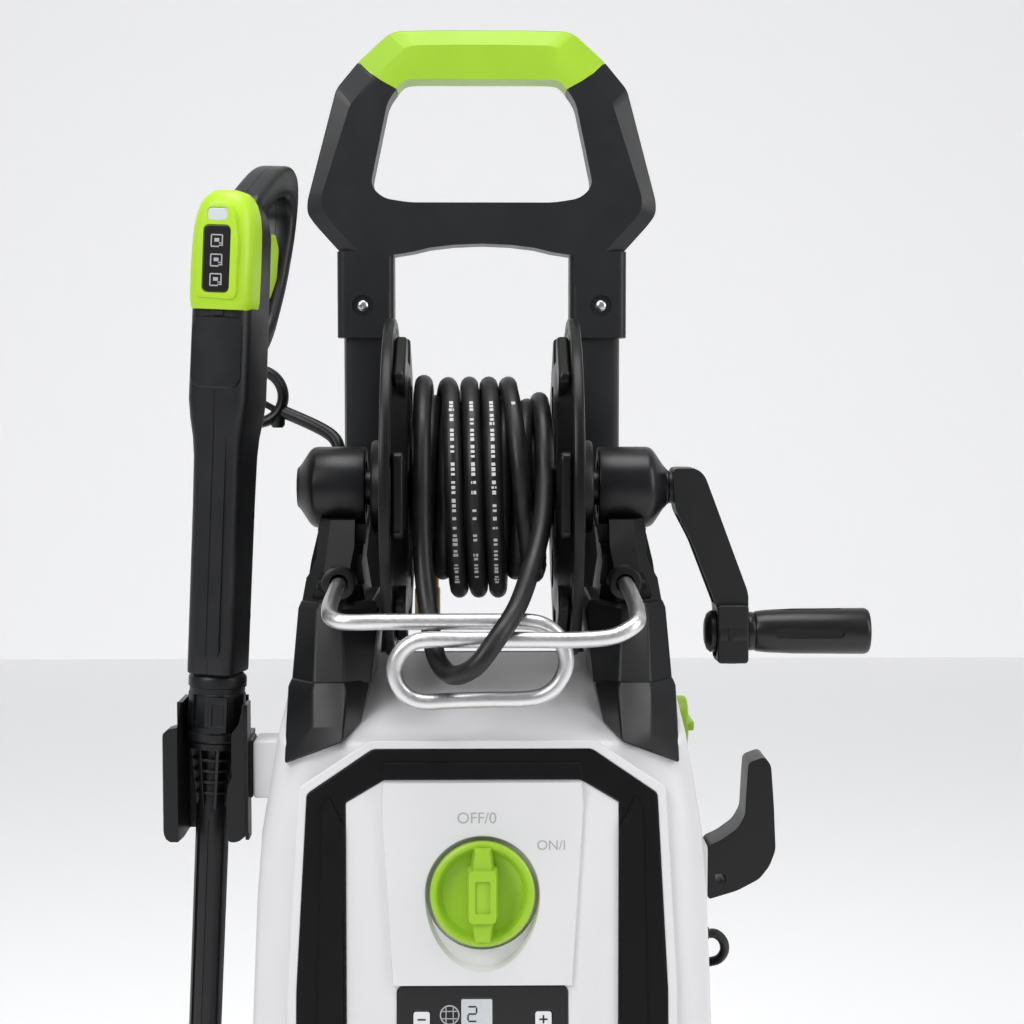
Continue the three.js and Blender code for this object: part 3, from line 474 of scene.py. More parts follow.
def lettering(name, text, size, place, material, body, slot, depth=0.4):
    """Raised lettering, drawn in x and z of the given frame and facing -y."""
    data = bpy.data.curves.new(name, "FONT")
    data.body = text
    data.size = size
    data.align_x = "CENTER"
    data.align_y = "CENTER"
    data.extrude = depth
    obj = bpy.data.objects.new(name, data)
    bpy.context.scene.collection.objects.link(obj)
    bpy.context.view_layer.update()
    mesh = bpy.data.meshes.new_from_object(obj)
    bpy.data.objects.remove(obj)
    solid = bpy.data.objects.new(name, mesh)
    bpy.context.scene.collection.objects.link(solid)
    mesh.transform(to_row @ place @ Matrix.Rotation(math.radians(90), 4, "X"))
    tidy(mesh)
    return placed(solid, material, body, slot)


# ---- Cords: the hose's free strand, the wound hose and the mains cord ----
HOSE_D = 12
hose_route = [
    (38, 27, 649.5), (38, 49, 670.5), (38, 57, 700), (37.5, 50, 728), (37.5, 29, 749), (38, 0, 757.5),
    (39, -28, 750), (40, -48, 732), (40.2, -62, 708), (37.5, -82, 680), (30, -107, 655),
    (20, -138, 633), (8, -155, 617), (-4, -158.5, 602), (-15, -150, 595.5), (-23, -134, 596.5),
    (-29, -116, 605), (-33, -98, 625), (-37, -84, 655), (-38.5, -74, 686), (-38.5, -67, 714),
    (-38.5, -49, 747), (-38.5, -22, 765), (-38.5, 8, 768.5), (-38.5, 38, 757.5), (-38.5, 60, 732),
    (-38.5, 69, 700), (-38.5, 73, 674), (-38.5, 75, 656), (-38.5, 75, 640)]


strand_line = smooth_line(hose_route, 6)
strand = hose_curve("hose_strand_look", strand_line, HOSE_D, HOSE)
placed(strand, HOSE, "machine", "hose_rubber", "hose_strand")
connector = placed(bevelled(copied("hose_connector"), 0.6), BRASS, "machine", "brass", "hose_connector")

POINTS_PER_TURN = 40
# Each layer of the wound hose: radius, x where it starts and ends, and its turns.
COIL_LAYERS = [(32, 39, -39, 6.5), (44, -39, 39, 6.5), (56, 26, -39, 5.4), (68, -20.5, 18, 3.0),
               (57.3, 38, 38, 0.02)]
LAYER_CHANGE = 0.5


def coil_line():
    """The wound hose: four layers, each a helix, joined by half a turn that climbs or falls."""
    turns = sum(layer[3] for layer in COIL_LAYERS) + LAYER_CHANGE * (len(COIL_LAYERS) - 1)
    leaving = math.radians(208.1)
    stations = []
    turn = 0.0
    for radius, start, end, count in COIL_LAYERS:
        stations += [(turn, start, radius), (turn + count, end, radius)]
        turn += count + LAYER_CHANGE
    line = []
    for (t0, x0, r0), (t1, x1, r1) in zip(stations, stations[1:]):
        steps = max(2, round((t1 - t0) * POINTS_PER_TURN))
        for i in range(steps):
            share = i / steps
            angle = leaving + 2 * math.pi * (t0 + (t1 - t0) * share - turns)
            r = r0 + (r1 - r0) * share * share * (3 - 2 * share)
            line.append((x0 + (x1 - x0) * share, -r * math.sin(angle), REEL_Z + r * math.cos(angle)))
    return line


wound = coil_line()
wound_hose = hose_curve("wound_hose", wound, HOSE_D - 0.2, HOSE)
placed(wound_hose, HOSE, "reel", "hose_rubber", "hose_coil")

CORD_D = 7
cord_route = [
    (162.6, 75, 376), (167, 75, 375.5), (172, 76, 371), (174, 79, 363), (171, 84, 355), (164, 92, 350),
    (155, 104, 346), (147, 118, 338), (138, 130, 322), (130, 137, 300), (125, 141, 270), (122, 145, 230),
    (120, 151, 185), (118, 160, 135), (115, 174, 85), (111, 192, 43), (106, 213, 16), (100, 238, 4.6),
    (94, 262, 4.2), (90.5, 284, 4.2)]
tail_route = [(30, 358.4, 4), (8, 355.8, 4), (-14, 344, 4), (-30, 326, 4.5), (-43, 313, 6.5), (-56, 308, 9)]
COIL_CENTRE = (30, 300)
COIL_RADII = (50.4, 43.4, 36.4, 29.4)
COIL_ROWS = 4


def mains_line():
    """The mains cord: its free route, then in and out over the floor coil, and down again beside it."""
    line = [tuple(p) for p in smooth_line(cord_route, 6)]
    cx, cy = COIL_CENTRE
    angle = math.atan2(line[-1][1] - cy, line[-1][0] - cx)
    radius_now = math.hypot(line[-1][1] - cy, line[-1][0] - cx)
    z_now = line[-1][2]
    per_turn = 36
    step = 2 * math.pi / per_turn
    for row in range(COIL_ROWS):
        for radius in (COIL_RADII if row % 2 == 0 else COIL_RADII[::-1]):
            for _ in range(per_turn):
                angle += step
                radius_now += (radius - radius_now) * 0.2
                z_now += (3.9 + row * 6.9 - z_now) * 0.2
                line.append((cx + radius_now * math.cos(angle), cy + radius_now * math.sin(angle), z_now))
    last = math.radians(90) + 2 * math.pi * math.ceil((angle - math.radians(90)) / (2 * math.pi))
    steps = round((last - angle) / step)
    first_angle, first_radius, first_z = angle, radius_now, z_now
    for i in range(1, steps + 1):
        share = i / steps
        eased = share * share * (3 - 2 * share)
        here = first_angle + (last - first_angle) * share
        radius_now = first_radius + (58.4 - first_radius) * min(1, eased * 1.6)
        line.append((cx + radius_now * math.cos(here), cy + radius_now * math.sin(here),
                     first_z + (4 - first_z) * eased))
    return line + [tuple(p) for p in smooth_line(tail_route, 6)[1:]]


mains = mains_line()
mains_cord = hose_curve("mains_cord", mains, CORD_D - 0.2, CORD)
placed(mains_cord, CORD, "machine", "cord_rubber", "power_cord", "cord_coil", "cord_tail")
relief_base = 142.4
RIBS = 5
relief_profile = [(0, relief_base), (8.6, relief_base), (9.6, relief_base + 1), (9.6, relief_base + 3.4),
                  (8.4, relief_base + 4.6), (6.6, relief_base + 5)]
for i in range(RIBS):
    start, r = relief_base + 5.2 + 2.7 * i, 6.3 - 0.33 * i
    relief_profile += [(r, start), (r, start + 1.7), (r - 0.9, start + 1.9), (r - 0.9, start + 2.5)]
relief_profile += [(4.5, relief_base + 19), (4.3, 162), (0, 162)]
gland = lathe("strain_relief", relief_profile, "x", (0, 75, 376), 48)
placed(smoothed(gland), CORD, "machine", "cord_rubber", "cord_gland")
plug_rows = ((-57.4, 4.5, 4.5), (-64, 5.2, 5.2), (-68, 9, 7.5), (-74, 11.6, 8.6), (-90, 12, 8.8),
             (-95, 11.6, 8.4), (-96, 10.5, 7.4))
plug_body = skin("plug_body", [[(x, 308 + y, 9.2 + z) for y, z in round_rect(-w, -h, w, h, min(w, h) * 0.75,
                                                                             6)]
                               for x, w, h in plug_rows])
placed(smoothed(plug_body, 40), CORD, "machine", "cord_rubber", "power_plug")
for y in (302, 314):
    pin_profile = [(0, -96), (2.4, -96), (2.4, -112.6), (1.2, -114), (0, -114)]
    plug_pin = lathe("plug_pin", pin_profile, "x", (0, y, 9), 32)
    placed(smoothed(plug_pin), BRASS, "machine", "brass", "power_plug")

# ---- Casing ----
GAP = 0.3
BODY_HEIGHT = REEL_Z - 117
FACE_TOP_Y = -116
SPLIT_Y = 40
BACK_Y = 115
CREASE_Z = BODY_HEIGHT - (SPLIT_Y - 3 - FACE_TOP_Y) * 0.229
SHOULDER = 128
WIDTHS = [(75, 132), (84, 138), (95, 142), (140, 145.2), (200, 147), (250, 146), (320, 144.3), (400, 142),
          (450, 140.3), (490, 137.5), (520, 132.6), (541, 128)]


def half_width(z):
    for (z0, w0), (z1, w1) in zip(WIDTHS, WIDTHS[1:]):
        if z <= z1:
            return w0 + (w1 - w0) * (z - z0) / (z1 - z0)
    return WIDTHS[-1][1]


def face_y(z):
    return FACE_TOP_Y - (CREASE_Z - max(z, 250)) * 0.1


def deck_z(y):
    return BODY_HEIGHT - (SPLIT_Y - 3 - y) * 0.229


def rear_deck_z(y):
    return deck_z(SPLIT_Y) - (y - SPLIT_Y) * 0.12


def open_ring(half, near, far, radius, height_at, steps=10):
    """From one end of the joint plane, round two corners, to its other end."""
    ring = [(half, near)]
    sign = 1 if far > near else -1
    for x_sign in (1, -1):
        for i in range(steps + 1):
            share = i / steps if x_sign > 0 else 1 - i / steps
            angle = share * math.pi / 2
            ring.append((x_sign * (half - radius + radius * math.cos(angle)),
                         far - sign * radius + sign * radius * math.sin(angle)))
    ring.append((-half, near))
    return [(x, y, height_at(y)) for x, y in ring]


def shell(name, rings, material, slot, node):
    """A thin skin over open rings, capped at the last one, and thickened inwards."""
    count = len(rings[0])
    points = [p for ring in rings for p in ring]
    faces = [(k * count + i, k * count + i + 1, (k + 1) * count + i + 1, (k + 1) * count + i)
             for k in range(len(rings) - 1) for i in range(count - 1)]
    faces.append([(len(rings) - 1) * count + i for i in range(count)])
    obj = made(name, points, faces)
    bm = bmesh.new()
    bm.from_mesh(obj.data)
    inside = at(0, 0, 300)
    if sum((face.calc_center_median() - inside).dot(face.normal) for face in bm.faces) < 0:
        bmesh.ops.reverse_faces(bm, faces=bm.faces)
    bm.to_mesh(obj.data)
    bm.free()
    thick = obj.modifiers.new("wall", "SOLIDIFY")
    thick.thickness = 3 * MM
    thick.offset = -1
    return placed(smoothed(obj, 40), material, "machine", slot, node)


def shoulder_rings(ring_at, radius, steps=6):
    """Rings that round the edge between the walls and the deck."""
    rings = []
    for i in range(steps + 1):
        angle = i / steps * math.pi / 2
        rings.append(ring_at(radius * (1 - math.cos(angle)), radius * (1 - math.sin(angle))))
    return rings


levels = [75, 79, 84, 90, 95, 110, 140, 170, 200, 225, 250, 285, 320, 360, 400, 425, 450, 470, 490, 505, 520]


def toe_in(z):
    """How far the front face stands back just above the chassis, less and less upwards."""
    if z < 85:
        return 8
    return 8 - (z - 84) * 0.5 if z < 100 else 0


front_rings = [open_ring(half_width(z), SPLIT_Y, face_y(z) + toe_in(z), 26, lambda y, z=z: z) for z in levels]
front_rings += shoulder_rings(lambda i, drop: open_ring(SHOULDER - i, SPLIT_Y, FACE_TOP_Y + 0.4 + i, 25,
                                                        lambda y: deck_z(y) - drop), 6)
shell("front_casing", front_rings, WHITE, "white_shell", "front_shell")

rear_levels = [135.3, 170, 200, 250, 320, 400, 450, 490, 520]
rear_rings = [open_ring(half_width(z), SPLIT_Y + GAP, BACK_Y, 22, lambda y, z=z: z) for z in rear_levels]
rear_rings += shoulder_rings(lambda i, drop: open_ring(SHOULDER - i, SPLIT_Y + GAP, BACK_Y - i, 21,
                                                       lambda y: rear_deck_z(y) - drop), 6)
shell("rear_casing", rear_rings, BLACK, "black_shell", "rear_shell")

HOOK_Z, HOOK_Y = 437, 20
HOOK_X = half_width(HOOK_Z) + 12
hook_plate = prism("hook_plate", round_rect(HOOK_Y - 19, HOOK_Z - 20, HOOK_Y + 19, HOOK_Z + 20, 5), "x",
                   HOOK_X - 20, HOOK_X)
placed(bevelled(hook_plate, 1.8), WHITE, "machine", "white_shell", "front_shell")

refined("base_chassis", 2.5, BLACK, "machine", "black_shell")
for side in ("left", "right"):
    refined("foot_" + side, 1.2, RUBBER, "machine", "foot_rubber")

# ---- Front panel, in the face's own frame ----
face = Matrix.Translation((0, FACE_TOP_Y, CREASE_Z)) @ Matrix.Rotation(-math.atan(0.1), 4, "X")
trim_outer = both_sides([(113, -236), (113, -150), (107, -30), (67, -3)])
trim_inner = [(60, -21), (84, -35), (83, -205), (72, -214)]

trim = prism("front_trim_look", rounded(trim_outer, 2.5), "y", -4.4, -GAP, face)
carve(trim, prism("inner", rounded(both_sides(trim_inner), 1.5), "y", -20, 20, face))
placed(bevelled(trim, 1.5), TRIM, "machine", "black_shell", "front_trim")
for x_sign in (-1, 1):
    band_outline = [(x_sign * a, h) for a, h in ((84.8, -50), (94, -31), (98, -38), (101.5, -235),
                                                 (84.8, -235))]
    band = prism("trim_band", rounded(band_outline, 2), "y", -6.4, -4, face)
    placed(bevelled(band, 1.1), TRIM, "machine", "black_shell")
top_band = prism("trim_top_band", [(-62, -20.6), (62, -20.6), (60, -11), (-60, -11)], "y", -5.6, -4, face)
placed(bevelled(top_band, 1), TRIM, "machine", "black_shell")
lip_outer = both_sides([(119, -236), (119, -149), (112.5, -26), (69, 2.6)])
lip = prism("casing_lip", rounded(lip_outer, 3), "y", -4.6, 2, face)
seat = both_sides([(113.4, -240), (113.4, -150), (107.4, -29.8), (67.2, -2.6)])
carve(lip, prism("trim_seat", rounded(seat, 2.5), "y", -20, 20, face))
placed(bevelled(lip, 2.2, 4), WHITE, "machine", "white_shell")

KNOB_H = -90
panel_outline = both_sides([(60, -21.6), (83.4, -35.4), (82.4, -204.4), (71.6, -213.4)])
panel_raised = both_sides([(61.8, -39), (75, -52), (72.6, -199), (66, -206)])
panel_levels = ((-GAP, panel_outline), (-3.2, panel_outline), (-6.4, panel_raised))
plate = skin("panel_plate", [[(x, y, h) for x, h in outline] for y, outline in panel_levels], face)
plateau = frustum("plateau", both_sides([(61.6, -22.2), (62.8, -39), (55.4, -146.8)]),
                  both_sides([(60.4, -23), (61.2, -39), (54, -145.4)]), -3, -9.2, face)
carve(plate, plateau, how="UNION")
egg = [(35.5 * math.cos(a), KNOB_H + (35.5 if math.sin(a) > 0 else 48) * math.sin(a))
       for a in (2 * math.pi * i / 72 for i in range(72))]
egg_bottom = [(x * 0.93, KNOB_H + (h - KNOB_H) * 0.93) for x, h in egg]
carve(plate, frustum("dish", egg, egg_bottom, -9.8, -5.4, face),
      lathe("hole", [(0, -20), (34.4, -20), (34.4, -1.4), (0, -1.4)], "y", (0, 0, KNOB_H), 96, face),
      prism("window", round_rect(-52.3, -204.3, 52.3, -145.7, 4.3), "y", -30, 20, face),
      prism("stem", circle(8, 0, KNOB_H, 32), "y", -30, 20, face))
placed(bevelled(plate, 0.6, 3, 30), WHITE, "machine", "white_shell", "control_panel")

bezel = prism("display_plate", round_rect(-52, -204, 52, -146, 4), "y", -7.4, -GAP, face)
carve(bezel, *[block("key", (x - 5.3, -10, -170.8), (x + 5.3, 5, -161.2), face) for x in (-37, 37)],
      block("lcd", (-13.3, -10, -172.3), (6.3, -5.4, -153.7), face))
placed(bevelled(bezel, 0.7), GLOSS, "machine", "display_black", "display_bezel")
lcd = prism("lcd_screen", round_rect(-13, -172, 6, -154, 1), "y", -7.1, -5.5, face)
placed(bevelled(lcd, 0.25, 2), SCREEN, "machine", "display_glass", "display_lens")
segments = [(-6.2, -158.6, 2.4, 0.5), (-6.2, -163, 2.4, 0.5), (-6.2, -167.4, 2.4, 0.5),
            (-3.6, -160.8, 0.5, 1.7),
            (-8.8, -165.2, 0.5, 1.7)]
for x, h, half_x, half_h in segments:
    mark = block("digit_bar", (x - half_x, -7.22, h - half_h), (x + half_x, -7, h + half_h), face)
    placed(bevelled(mark, 0.1, 1), GLOSS, "machine", "display_black")
icon = lathe("dial_icon", [(5.2, -7.3), (5.2, -7.55), (6, -7.55), (6, -7.3)], "y", (-20, 0, -163.5), 48, face)
placed(smoothed(icon), MARK, "machine", "display_black")
for offset in (-2.2, 2.2):
    for low, high in (((-20 + offset - 0.3, -7.5, -168), (-20 + offset + 0.3, -7.3, -159)),
                      ((-24.5, -7.5, -163.5 + offset - 0.3), (-15.5, -7.3, -163.5 + offset + 0.3))):
        placed(bevelled(block("icon_line", low, high, face), 0.08, 1), MARK, "machine", "display_black")
for x, body, node, upright in ((-37, "minus", "key_minus", False), (37, "plus", "key_plus", True)):
    key = prism(node + "_look", round_rect(x - 5, -170.5, x + 5, -161.5, 1.5), "y", -8.6, -2.5, face)
    placed(bevelled(key, 0.6), WHITE, body, "white_shell", node)
    bars = [((x - 2.5, -8.8, -166.5), (x + 2.5, -8.5, -165.5))]
    if upright:
        bars.append(((x - 0.5, -8.8, -168.5), (x + 0.5, -8.5, -163.5)))
    for low, high in bars:
        placed(bevelled(block("key_mark", low, high, face), 0.1, 1), GLOSS, body, "display_black")

knob_profile = [(0, -3.6), (28, -3.6), (31.4, -5), (32, -6), (32, -10.6), (31.5, -12.2), (30.2, -13.2),
                (28.8, -13.4), (27.6, -12.8), (26.8, -11.4), (24.6, -7.4), (20, -6), (0, -5.6)]
knob_disc = lathe("knob_disc", knob_profile, "y", (0, 0, KNOB_H), 128, face)


def waisted(middle_half, end_half, reach):
    """A grip bar's outline: parallel in the middle and tapering to its ends."""
    right = [(middle_half, 12), (end_half, reach), (-end_half, reach), (-middle_half, 12),
             (-middle_half, -12),
             (-end_half, -reach), (end_half, -reach), (middle_half, -12)]
    return [(x, KNOB_H + h) for x, h in right]


knob_bar = frustum("knob_bar", waisted(8, 6, 29.5), waisted(6.2, 4.2, 27), -4.5, -22.8, face)
knob_block = frustum("knob_block", round_rect(-9.6, KNOB_H - 17, 9.6, KNOB_H + 17, 2.5),
                     round_rect(-8.2, KNOB_H - 15.6, 8.2, KNOB_H + 15.6, 2.5), -6, -25.3, face)
carve(knob_block, prism("inset", round_rect(-4.4, KNOB_H - 10, 4.8, KNOB_H + 9.5, 1.2), "y", -26, -23.8,
                        face))
carve(knob_bar, knob_block, how="UNION")
placed(smoothed(knob_disc, 35), LIME, "knob", "lime_plastic", "power_knob")
placed(bevelled(knob_bar, 1.3, 4), LIME, "knob", "lime_plastic")
knob_stem = lathe("knob_stem", [(0, 11), (6, 11), (6, -4)], "y", (0, 0, KNOB_H), 32, face)
placed(smoothed(knob_stem), LIME, "knob", "lime_plastic")
for name, text, size, spot in (("off_mark", "OFF/0", 9.6, (-3.4, -9.2, -44.5)),
                               ("on_mark", "ON/I", 8.4, (42, -9.2, -61))):
    lettering(name, text, size, face @ Matrix.Translation(spot), MARK, "machine", "black_shell", 0.12)

# ---- Reel supports ----
def column_ring(x_sign, rows):
    """A column's plan at one level: outer back, outer front, two breaks of its front, and inner side."""
    return [(x_sign * x, y, REEL_Z + z) for x, y, z in rows]


def ordered(x_sign, inner, outer):
    """The lower and the upper x of a span that is drawn for the right side."""
    return sorted((x_sign * inner, x_sign * outer))


def side_block(name, x_sign, xs, ys, zs):
    """A block between two values of x (drawn for the right side), of y, and of z above the reel's axis."""
    low, high = ordered(x_sign, *xs)
    return block(name, (low, ys[0], REEL_Z + zs[0]), (high, ys[1], REEL_Z + zs[1]))


UPPER_TIER = (
    ((106, 15, -19), (106, -20, -19), (99, -29, -20), (80, -29, -20), (75, -20, -19), (75, 15, -19)),
    ((113, 32, -48), (113, -30, -48), (101.5, -44, -48), (85, -45, -48), (79, -34, -48), (79, 32, -48)),
    ((117, 42, -73), (117, -40, -73), (105, -52, -73), (87, -53, -73), (76, -40, -73), (76, 42, -73)))
MIDDLE_TIER = (
    ((117.2, 43, -71), (117.2, -41, -71), (105, -53.4, -71), (89, -54, -71), (70, -41, -71), (70, 43, -71)),
    ((119, 44, -76), (119, -45, -76), (106, -58, -76), (90, -58.6, -76), (67, -45, -76), (67, 44, -76)),
    ((121.6, 52, -122), (121.6, -67, -122), (106, -87, -122), (86, -87, -122), (71, -66, -122),
     (71, 52, -122)))
FOOT_TIER = (
    ((121.4, 53, -118), (121.4, -67, -118), (106, -86, -118), (86.6, -86, -118), (73, -66, -118),
     (73, 53, -118)),
    ((123.4, 54, -123), (123.4, -70.5, -123), (106.6, -91, -123), (85, -91, -123), (72, -68, -123),
     (72, 54, -123)),
    ((124, 54, -142), (122.4, -95, -142), (105, -110, -142), (85.6, -110, -142), (76, -84, -142),
     (76, 54, -142)),
    ((124, 54, -166), (121.4, -117, -164), (103, -121.5, -156.5), (85.4, -120, -150), (78, -70, -150),
     (78, 54, -150)))
for x_sign, side in ((-1, "left"), (1, "right")):
    column = skin("column_look", [column_ring(x_sign, row) for row in UPPER_TIER])
    pocket = [(x_sign * a, REEL_Z + b) for a, b in ((99.5, -70), (110, -70), (107.5, -53), (99.5, -53))]
    carve(column,
          prism("hub_seat", circle(27.4, 0, REEL_Z), "x", -140, 140),
          prism("pocket", rounded(pocket, 2), "y", -70, -43),
          side_block("side_slot", x_sign, (107.6, 130), (-34, -14), (-57, -27)),
          side_block("notch", x_sign, (70, 83), (-60, -14), (-36, -10)),
          side_block("low_notch", x_sign, (70, 81), (-60, -24), (-62, -42)))
    placed(bevelled(column, 1.3), BLACK, "machine", "black_shell", "column_" + side)
    for rows in (MIDDLE_TIER, FOOT_TIER):
        tier = skin("column_tier", [column_ring(x_sign, row) for row in rows])
        placed(bevelled(tier, 1.6), BLACK, "machine", "black_shell", "column_" + side)
    socket_profile = [(6, -56), (9, -56), (10.5, -55.2), (11, -54), (11, -42), (6, -42), (6, -56)]
    socket = lathe("guide_socket", socket_profile, "y", (x_sign * 92, 0, REEL_Z - 59), 64)
    placed(smoothed(socket), BLACK, "machine", "black_shell")
    screw_profile = [(0, -45.5), (0, -44.8), (1.6, -44.8), (1.8, -45.6), (3, -45.9), (3.6, -45), (3.6, -41)]
    screw = lathe("pocket_screw", screw_profile, "y", (x_sign * 103.5, 0, REEL_Z - 61), 40)
    placed(smoothed(screw), HUB, "machine", "steel")

    profile = [(77, 18), (77, 25.6), (77.4, 26.6), (78.4, 27), (109, 27), (111.4, 26.5), (113.4, 25.2),
               (115.2, 23), (119.4, 16.6), (120.8, 14.6), (122, 13.4), (122.5, 13), (122.2, 12.5), (92, 12.4)]
    if x_sign < 0:
        profile = profile[:-2] + [(122.5, 9), (123, 6), (123.2, 0)]
    hub = lathe("hub_look", [(r, x_sign * x) for x, r in profile], "x", (0, 0, REEL_Z), 128)
    placed(smoothed(hub, 30), HUB, "machine", "hub_plastic", "hub_" + side)
    refined("bearing_" + side, 0.6, STEEL, "machine", "steel")


# ---- Reel ----
def flange(x_sign):
    """A dished flange with six windows, a raised lobe between each two, and six lobes inside its rim."""
    profile = [(12.4, 47), (60, 47), (76, 47), (82, 48.6), (94, 55.2), (98, 56.5), (101.5, 56.5),
               (102.4, 57.6), (105, 57.6), (105.8, 56.7), (110, 56.5), (111.4, 57), (112, 58.4), (112, 61.8),
               (111.4, 63.1), (110, 63.5), (106.4, 63.5), (105.6, 62.6), (103, 62.6), (102.2, 63.5),
               (97.4, 63.5), (95, 62.4), (80, 55.4), (73, 52.4), (34, 52), (32.4, 53), (31.4, 71.4), (30, 73),
               (14, 73), (12.4, 72)]
    obj = lathe("flange", [(r, x_sign * x) for r, x in profile + profile[:1]], "x", (0, 0, REEL_Z), 160)

    def around_reel(name, outline, radius, inner, outer, angle):
        return prism(name, rounded(outline, radius), "x", *ordered(x_sign, inner, outer),
                     spun("X", angle, z=REEL_Z))

    sixths = range(0, 360, 60)
    window = [(-13, 42), (13, 42), (18, 67), (-18, 67)]
    carve(obj, *[around_reel("window", window, 7, 40, 70, angle) for angle in sixths])
    pieces = [bevelled(obj, 0.8, 2, 40)]
    for angle in sixths:
        lobe = around_reel("lobe", [(-14, 38), (14, 38), (19, 70), (-19, 70)], 8, 51, 57, angle + 30)
        hollow = [(-9.5, 43), (9.5, 43), (13.5, 65), (-13.5, 65)]
        carve(lobe, around_reel("hollow", hollow, 6, 53.4, 60, angle + 30))
        pieces.append(bevelled(lobe, 1.6, 3))
    for angle in sixths:
        turn = spun("X", 30, z=REEL_Z) @ spun("X", angle)
        plate = prism("inner_lobe", rounded([(-20, 77), (20, 77), (29, 101), (-29, 101)], 8), "x",
                      *ordered(x_sign, 48.4, 56.4), turn)
        pieces.append(bevelled(plate, 2.6, 4))
    return pieces


for x_sign, side in ((-1, "left"), (1, "right")):
    for piece in flange(x_sign):
        placed(piece, REEL, "reel", "reel_plastic", "reel_flange_" + side)
drum_profile = [(12.4, -46.7), (25.4, -46.7), (26, -46), (26, 46), (25.4, 46.7), (12.4, 46.7), (12.4, -46.7)]
drum = lathe("drum_look", drum_profile, "x", (0, 0, REEL_Z), 96)
placed(smoothed(drum), REEL, "reel", "reel_plastic", "reel_drum")
axle_profile = [(0, -107), (11.4, -107), (12, -106.4), (12, 123.4), (11.4, 124), (8, 124), (8, 136.4),
                (7.4, 137), (0, 137)]
axle = lathe("axle_look", axle_profile, "x", (0, 0, REEL_Z), 64)
placed(smoothed(axle), HUB, "reel", "steel", "reel_axle")


def coil_marks():
    """Small print blocks with uneven gaps on the outer layer, where its turns face the front."""
    outer_layer = [i for i, spot in enumerate(wound) if math.hypot(spot[1], spot[2] - REEL_Z) > 67]
    seed = 7
    blocks = []
    for i in outer_layer[:-1]:
        a, b = Vector(wound[i]), Vector(wound[i + 1])
        out = Vector((0, a.y, a.z - REEL_Z)).normalized()
        if out.y > -0.55 or abs(out.z) > 0.8:
            continue
        for share in (0.1, 0.4, 0.7):
            seed = (seed * 137 + 59) % 1009
            if seed % 6 == 0:
                continue
            ahead = (b - a).normalized()
            side = ahead.cross(out).normalized()
            middle = a.lerp(b, share)
            long_half = 0.75 + (seed % 5) * 0.12
            wide_half = 0.2 if seed % 4 else 0.26
            corners = [(u, v) for u in (-long_half, long_half) for v in (-wide_half, wide_half)]
            points = [middle + ahead * u + (out * math.cos(v) + side * math.sin(v)) * r
                      for r in (HOSE_D / 2 - 0.35, HOSE_D / 2 + 0.02) for u, v in corners]
            faces = [(0, 1, 3, 2), (4, 5, 7, 6), (0, 1, 5, 4), (1, 3, 7, 5), (3, 2, 6, 7), (2, 0, 4, 6)]
            blocks.append((points, faces))
    points, faces = [], []
    for new_points, new_faces in blocks:
        faces += [tuple(len(points) + k for k in f) for f in new_faces]
        points += new_points
    return made("hose_print", points, faces)


placed(coil_marks(), INK, "reel", "hose_rubber")

# ---- Crank ----
PIN_Z = REEL_Z - 97
arm_outline = [(126, REEL_Z + 13), (142, REEL_Z + 13), (147.5, REEL_Z + 8), (176.7, REEL_Z - 70),
               (176.7, PIN_Z - 15), (172, PIN_Z - 20), (160, PIN_Z - 20), (156, PIN_Z - 15),
               (156, REEL_Z - 80), (139, REEL_Z - 36), (128, REEL_Z - 15)]
arm = prism("crank_arm_look", rounded(arm_outline, 4), "y", -15, 15)
channel = [(120, REEL_Z - 18), (136, REEL_Z - 18), (160, REEL_Z - 78), (130, REEL_Z - 78)]
carve(arm, prism("channel", channel, "y", -11.5, 11.5))
head_profile = [(0, 124.6), (11, 124.6), (11, 128), (12.6, 128), (12.6, 142), (0, 142)]
foot_profile = [(0, 156), (18.5, 156), (20, 157.5), (20, 175.4), (18.5, 177), (0, 177)]
carve(arm, lathe("head", head_profile, "x", (0, 0, REEL_Z), 64),
      lathe("foot", foot_profile, "x", (0, 0, PIN_Z), 80), how="UNION")
carve(arm, lathe("pin_bore", [(0, 150), (6.2, 150), (6.2, 190), (0, 190)], "x", (0, 0, PIN_Z), 32),
      lathe("axle_socket", [(0, 100), (8.2, 100), (8.2, 137.3), (0, 137.3)], "x", (0, 0, REEL_Z), 32))
placed(bevelled(arm, 1.8, 3, 30), CRANK, "reel", "crank_plastic", "crank_arm")
arrow = prism("arrow_mark", [(163, PIN_Z - 4.6), (170.6, PIN_Z), (163, PIN_Z + 4.6)], "y", -20.3, -19)
placed(bevelled(arrow, 0.3, 2), GRIP, "reel", "crank_plastic")
boss_box = prism("crank_boss", round_rect(156, PIN_Z - 19.4, 176.6, PIN_Z + 19.4, 2.5), "y", -19.6, 12)
placed(bevelled(boss_box, 1.4), CRANK, "reel", "crank_plastic", "crank_arm")
pin_profile = [(0, 148.6), (8, 149.2), (12, 150.6), (14, 153), (14, 155.7), (6, 155.7), (6, 250), (0, 250)]
pin = lathe("crank_pin_look", pin_profile, "x", (0, 0, PIN_Z), 64)
placed(smoothed(pin), HUB, "reel", "steel", "crank_pin")
crank_grip_profile = [(6.3, 177.3), (12.2, 177.3), (13, 178.2), (13, 181.4), (12.6, 182), (13, 182.6),
                      (13.6, 184), (14.3, 190), (15.2, 208), (15.5, 256), (15, 258), (13.9, 259.2),
                      (12.5, 259.3), (0, 259.3)]
crank_grip = lathe("crank_grip_look", crank_grip_profile, "x", (0, 0, PIN_Z), 96)
for angle in range(0, 360, 90):
    groove = prism("groove", round_rect(195, -3.2, 241, 3.2, 3.1, 6), "y", -20, -14,
                   spun("X", angle, z=PIN_Z))
    carve(crank_grip, groove)
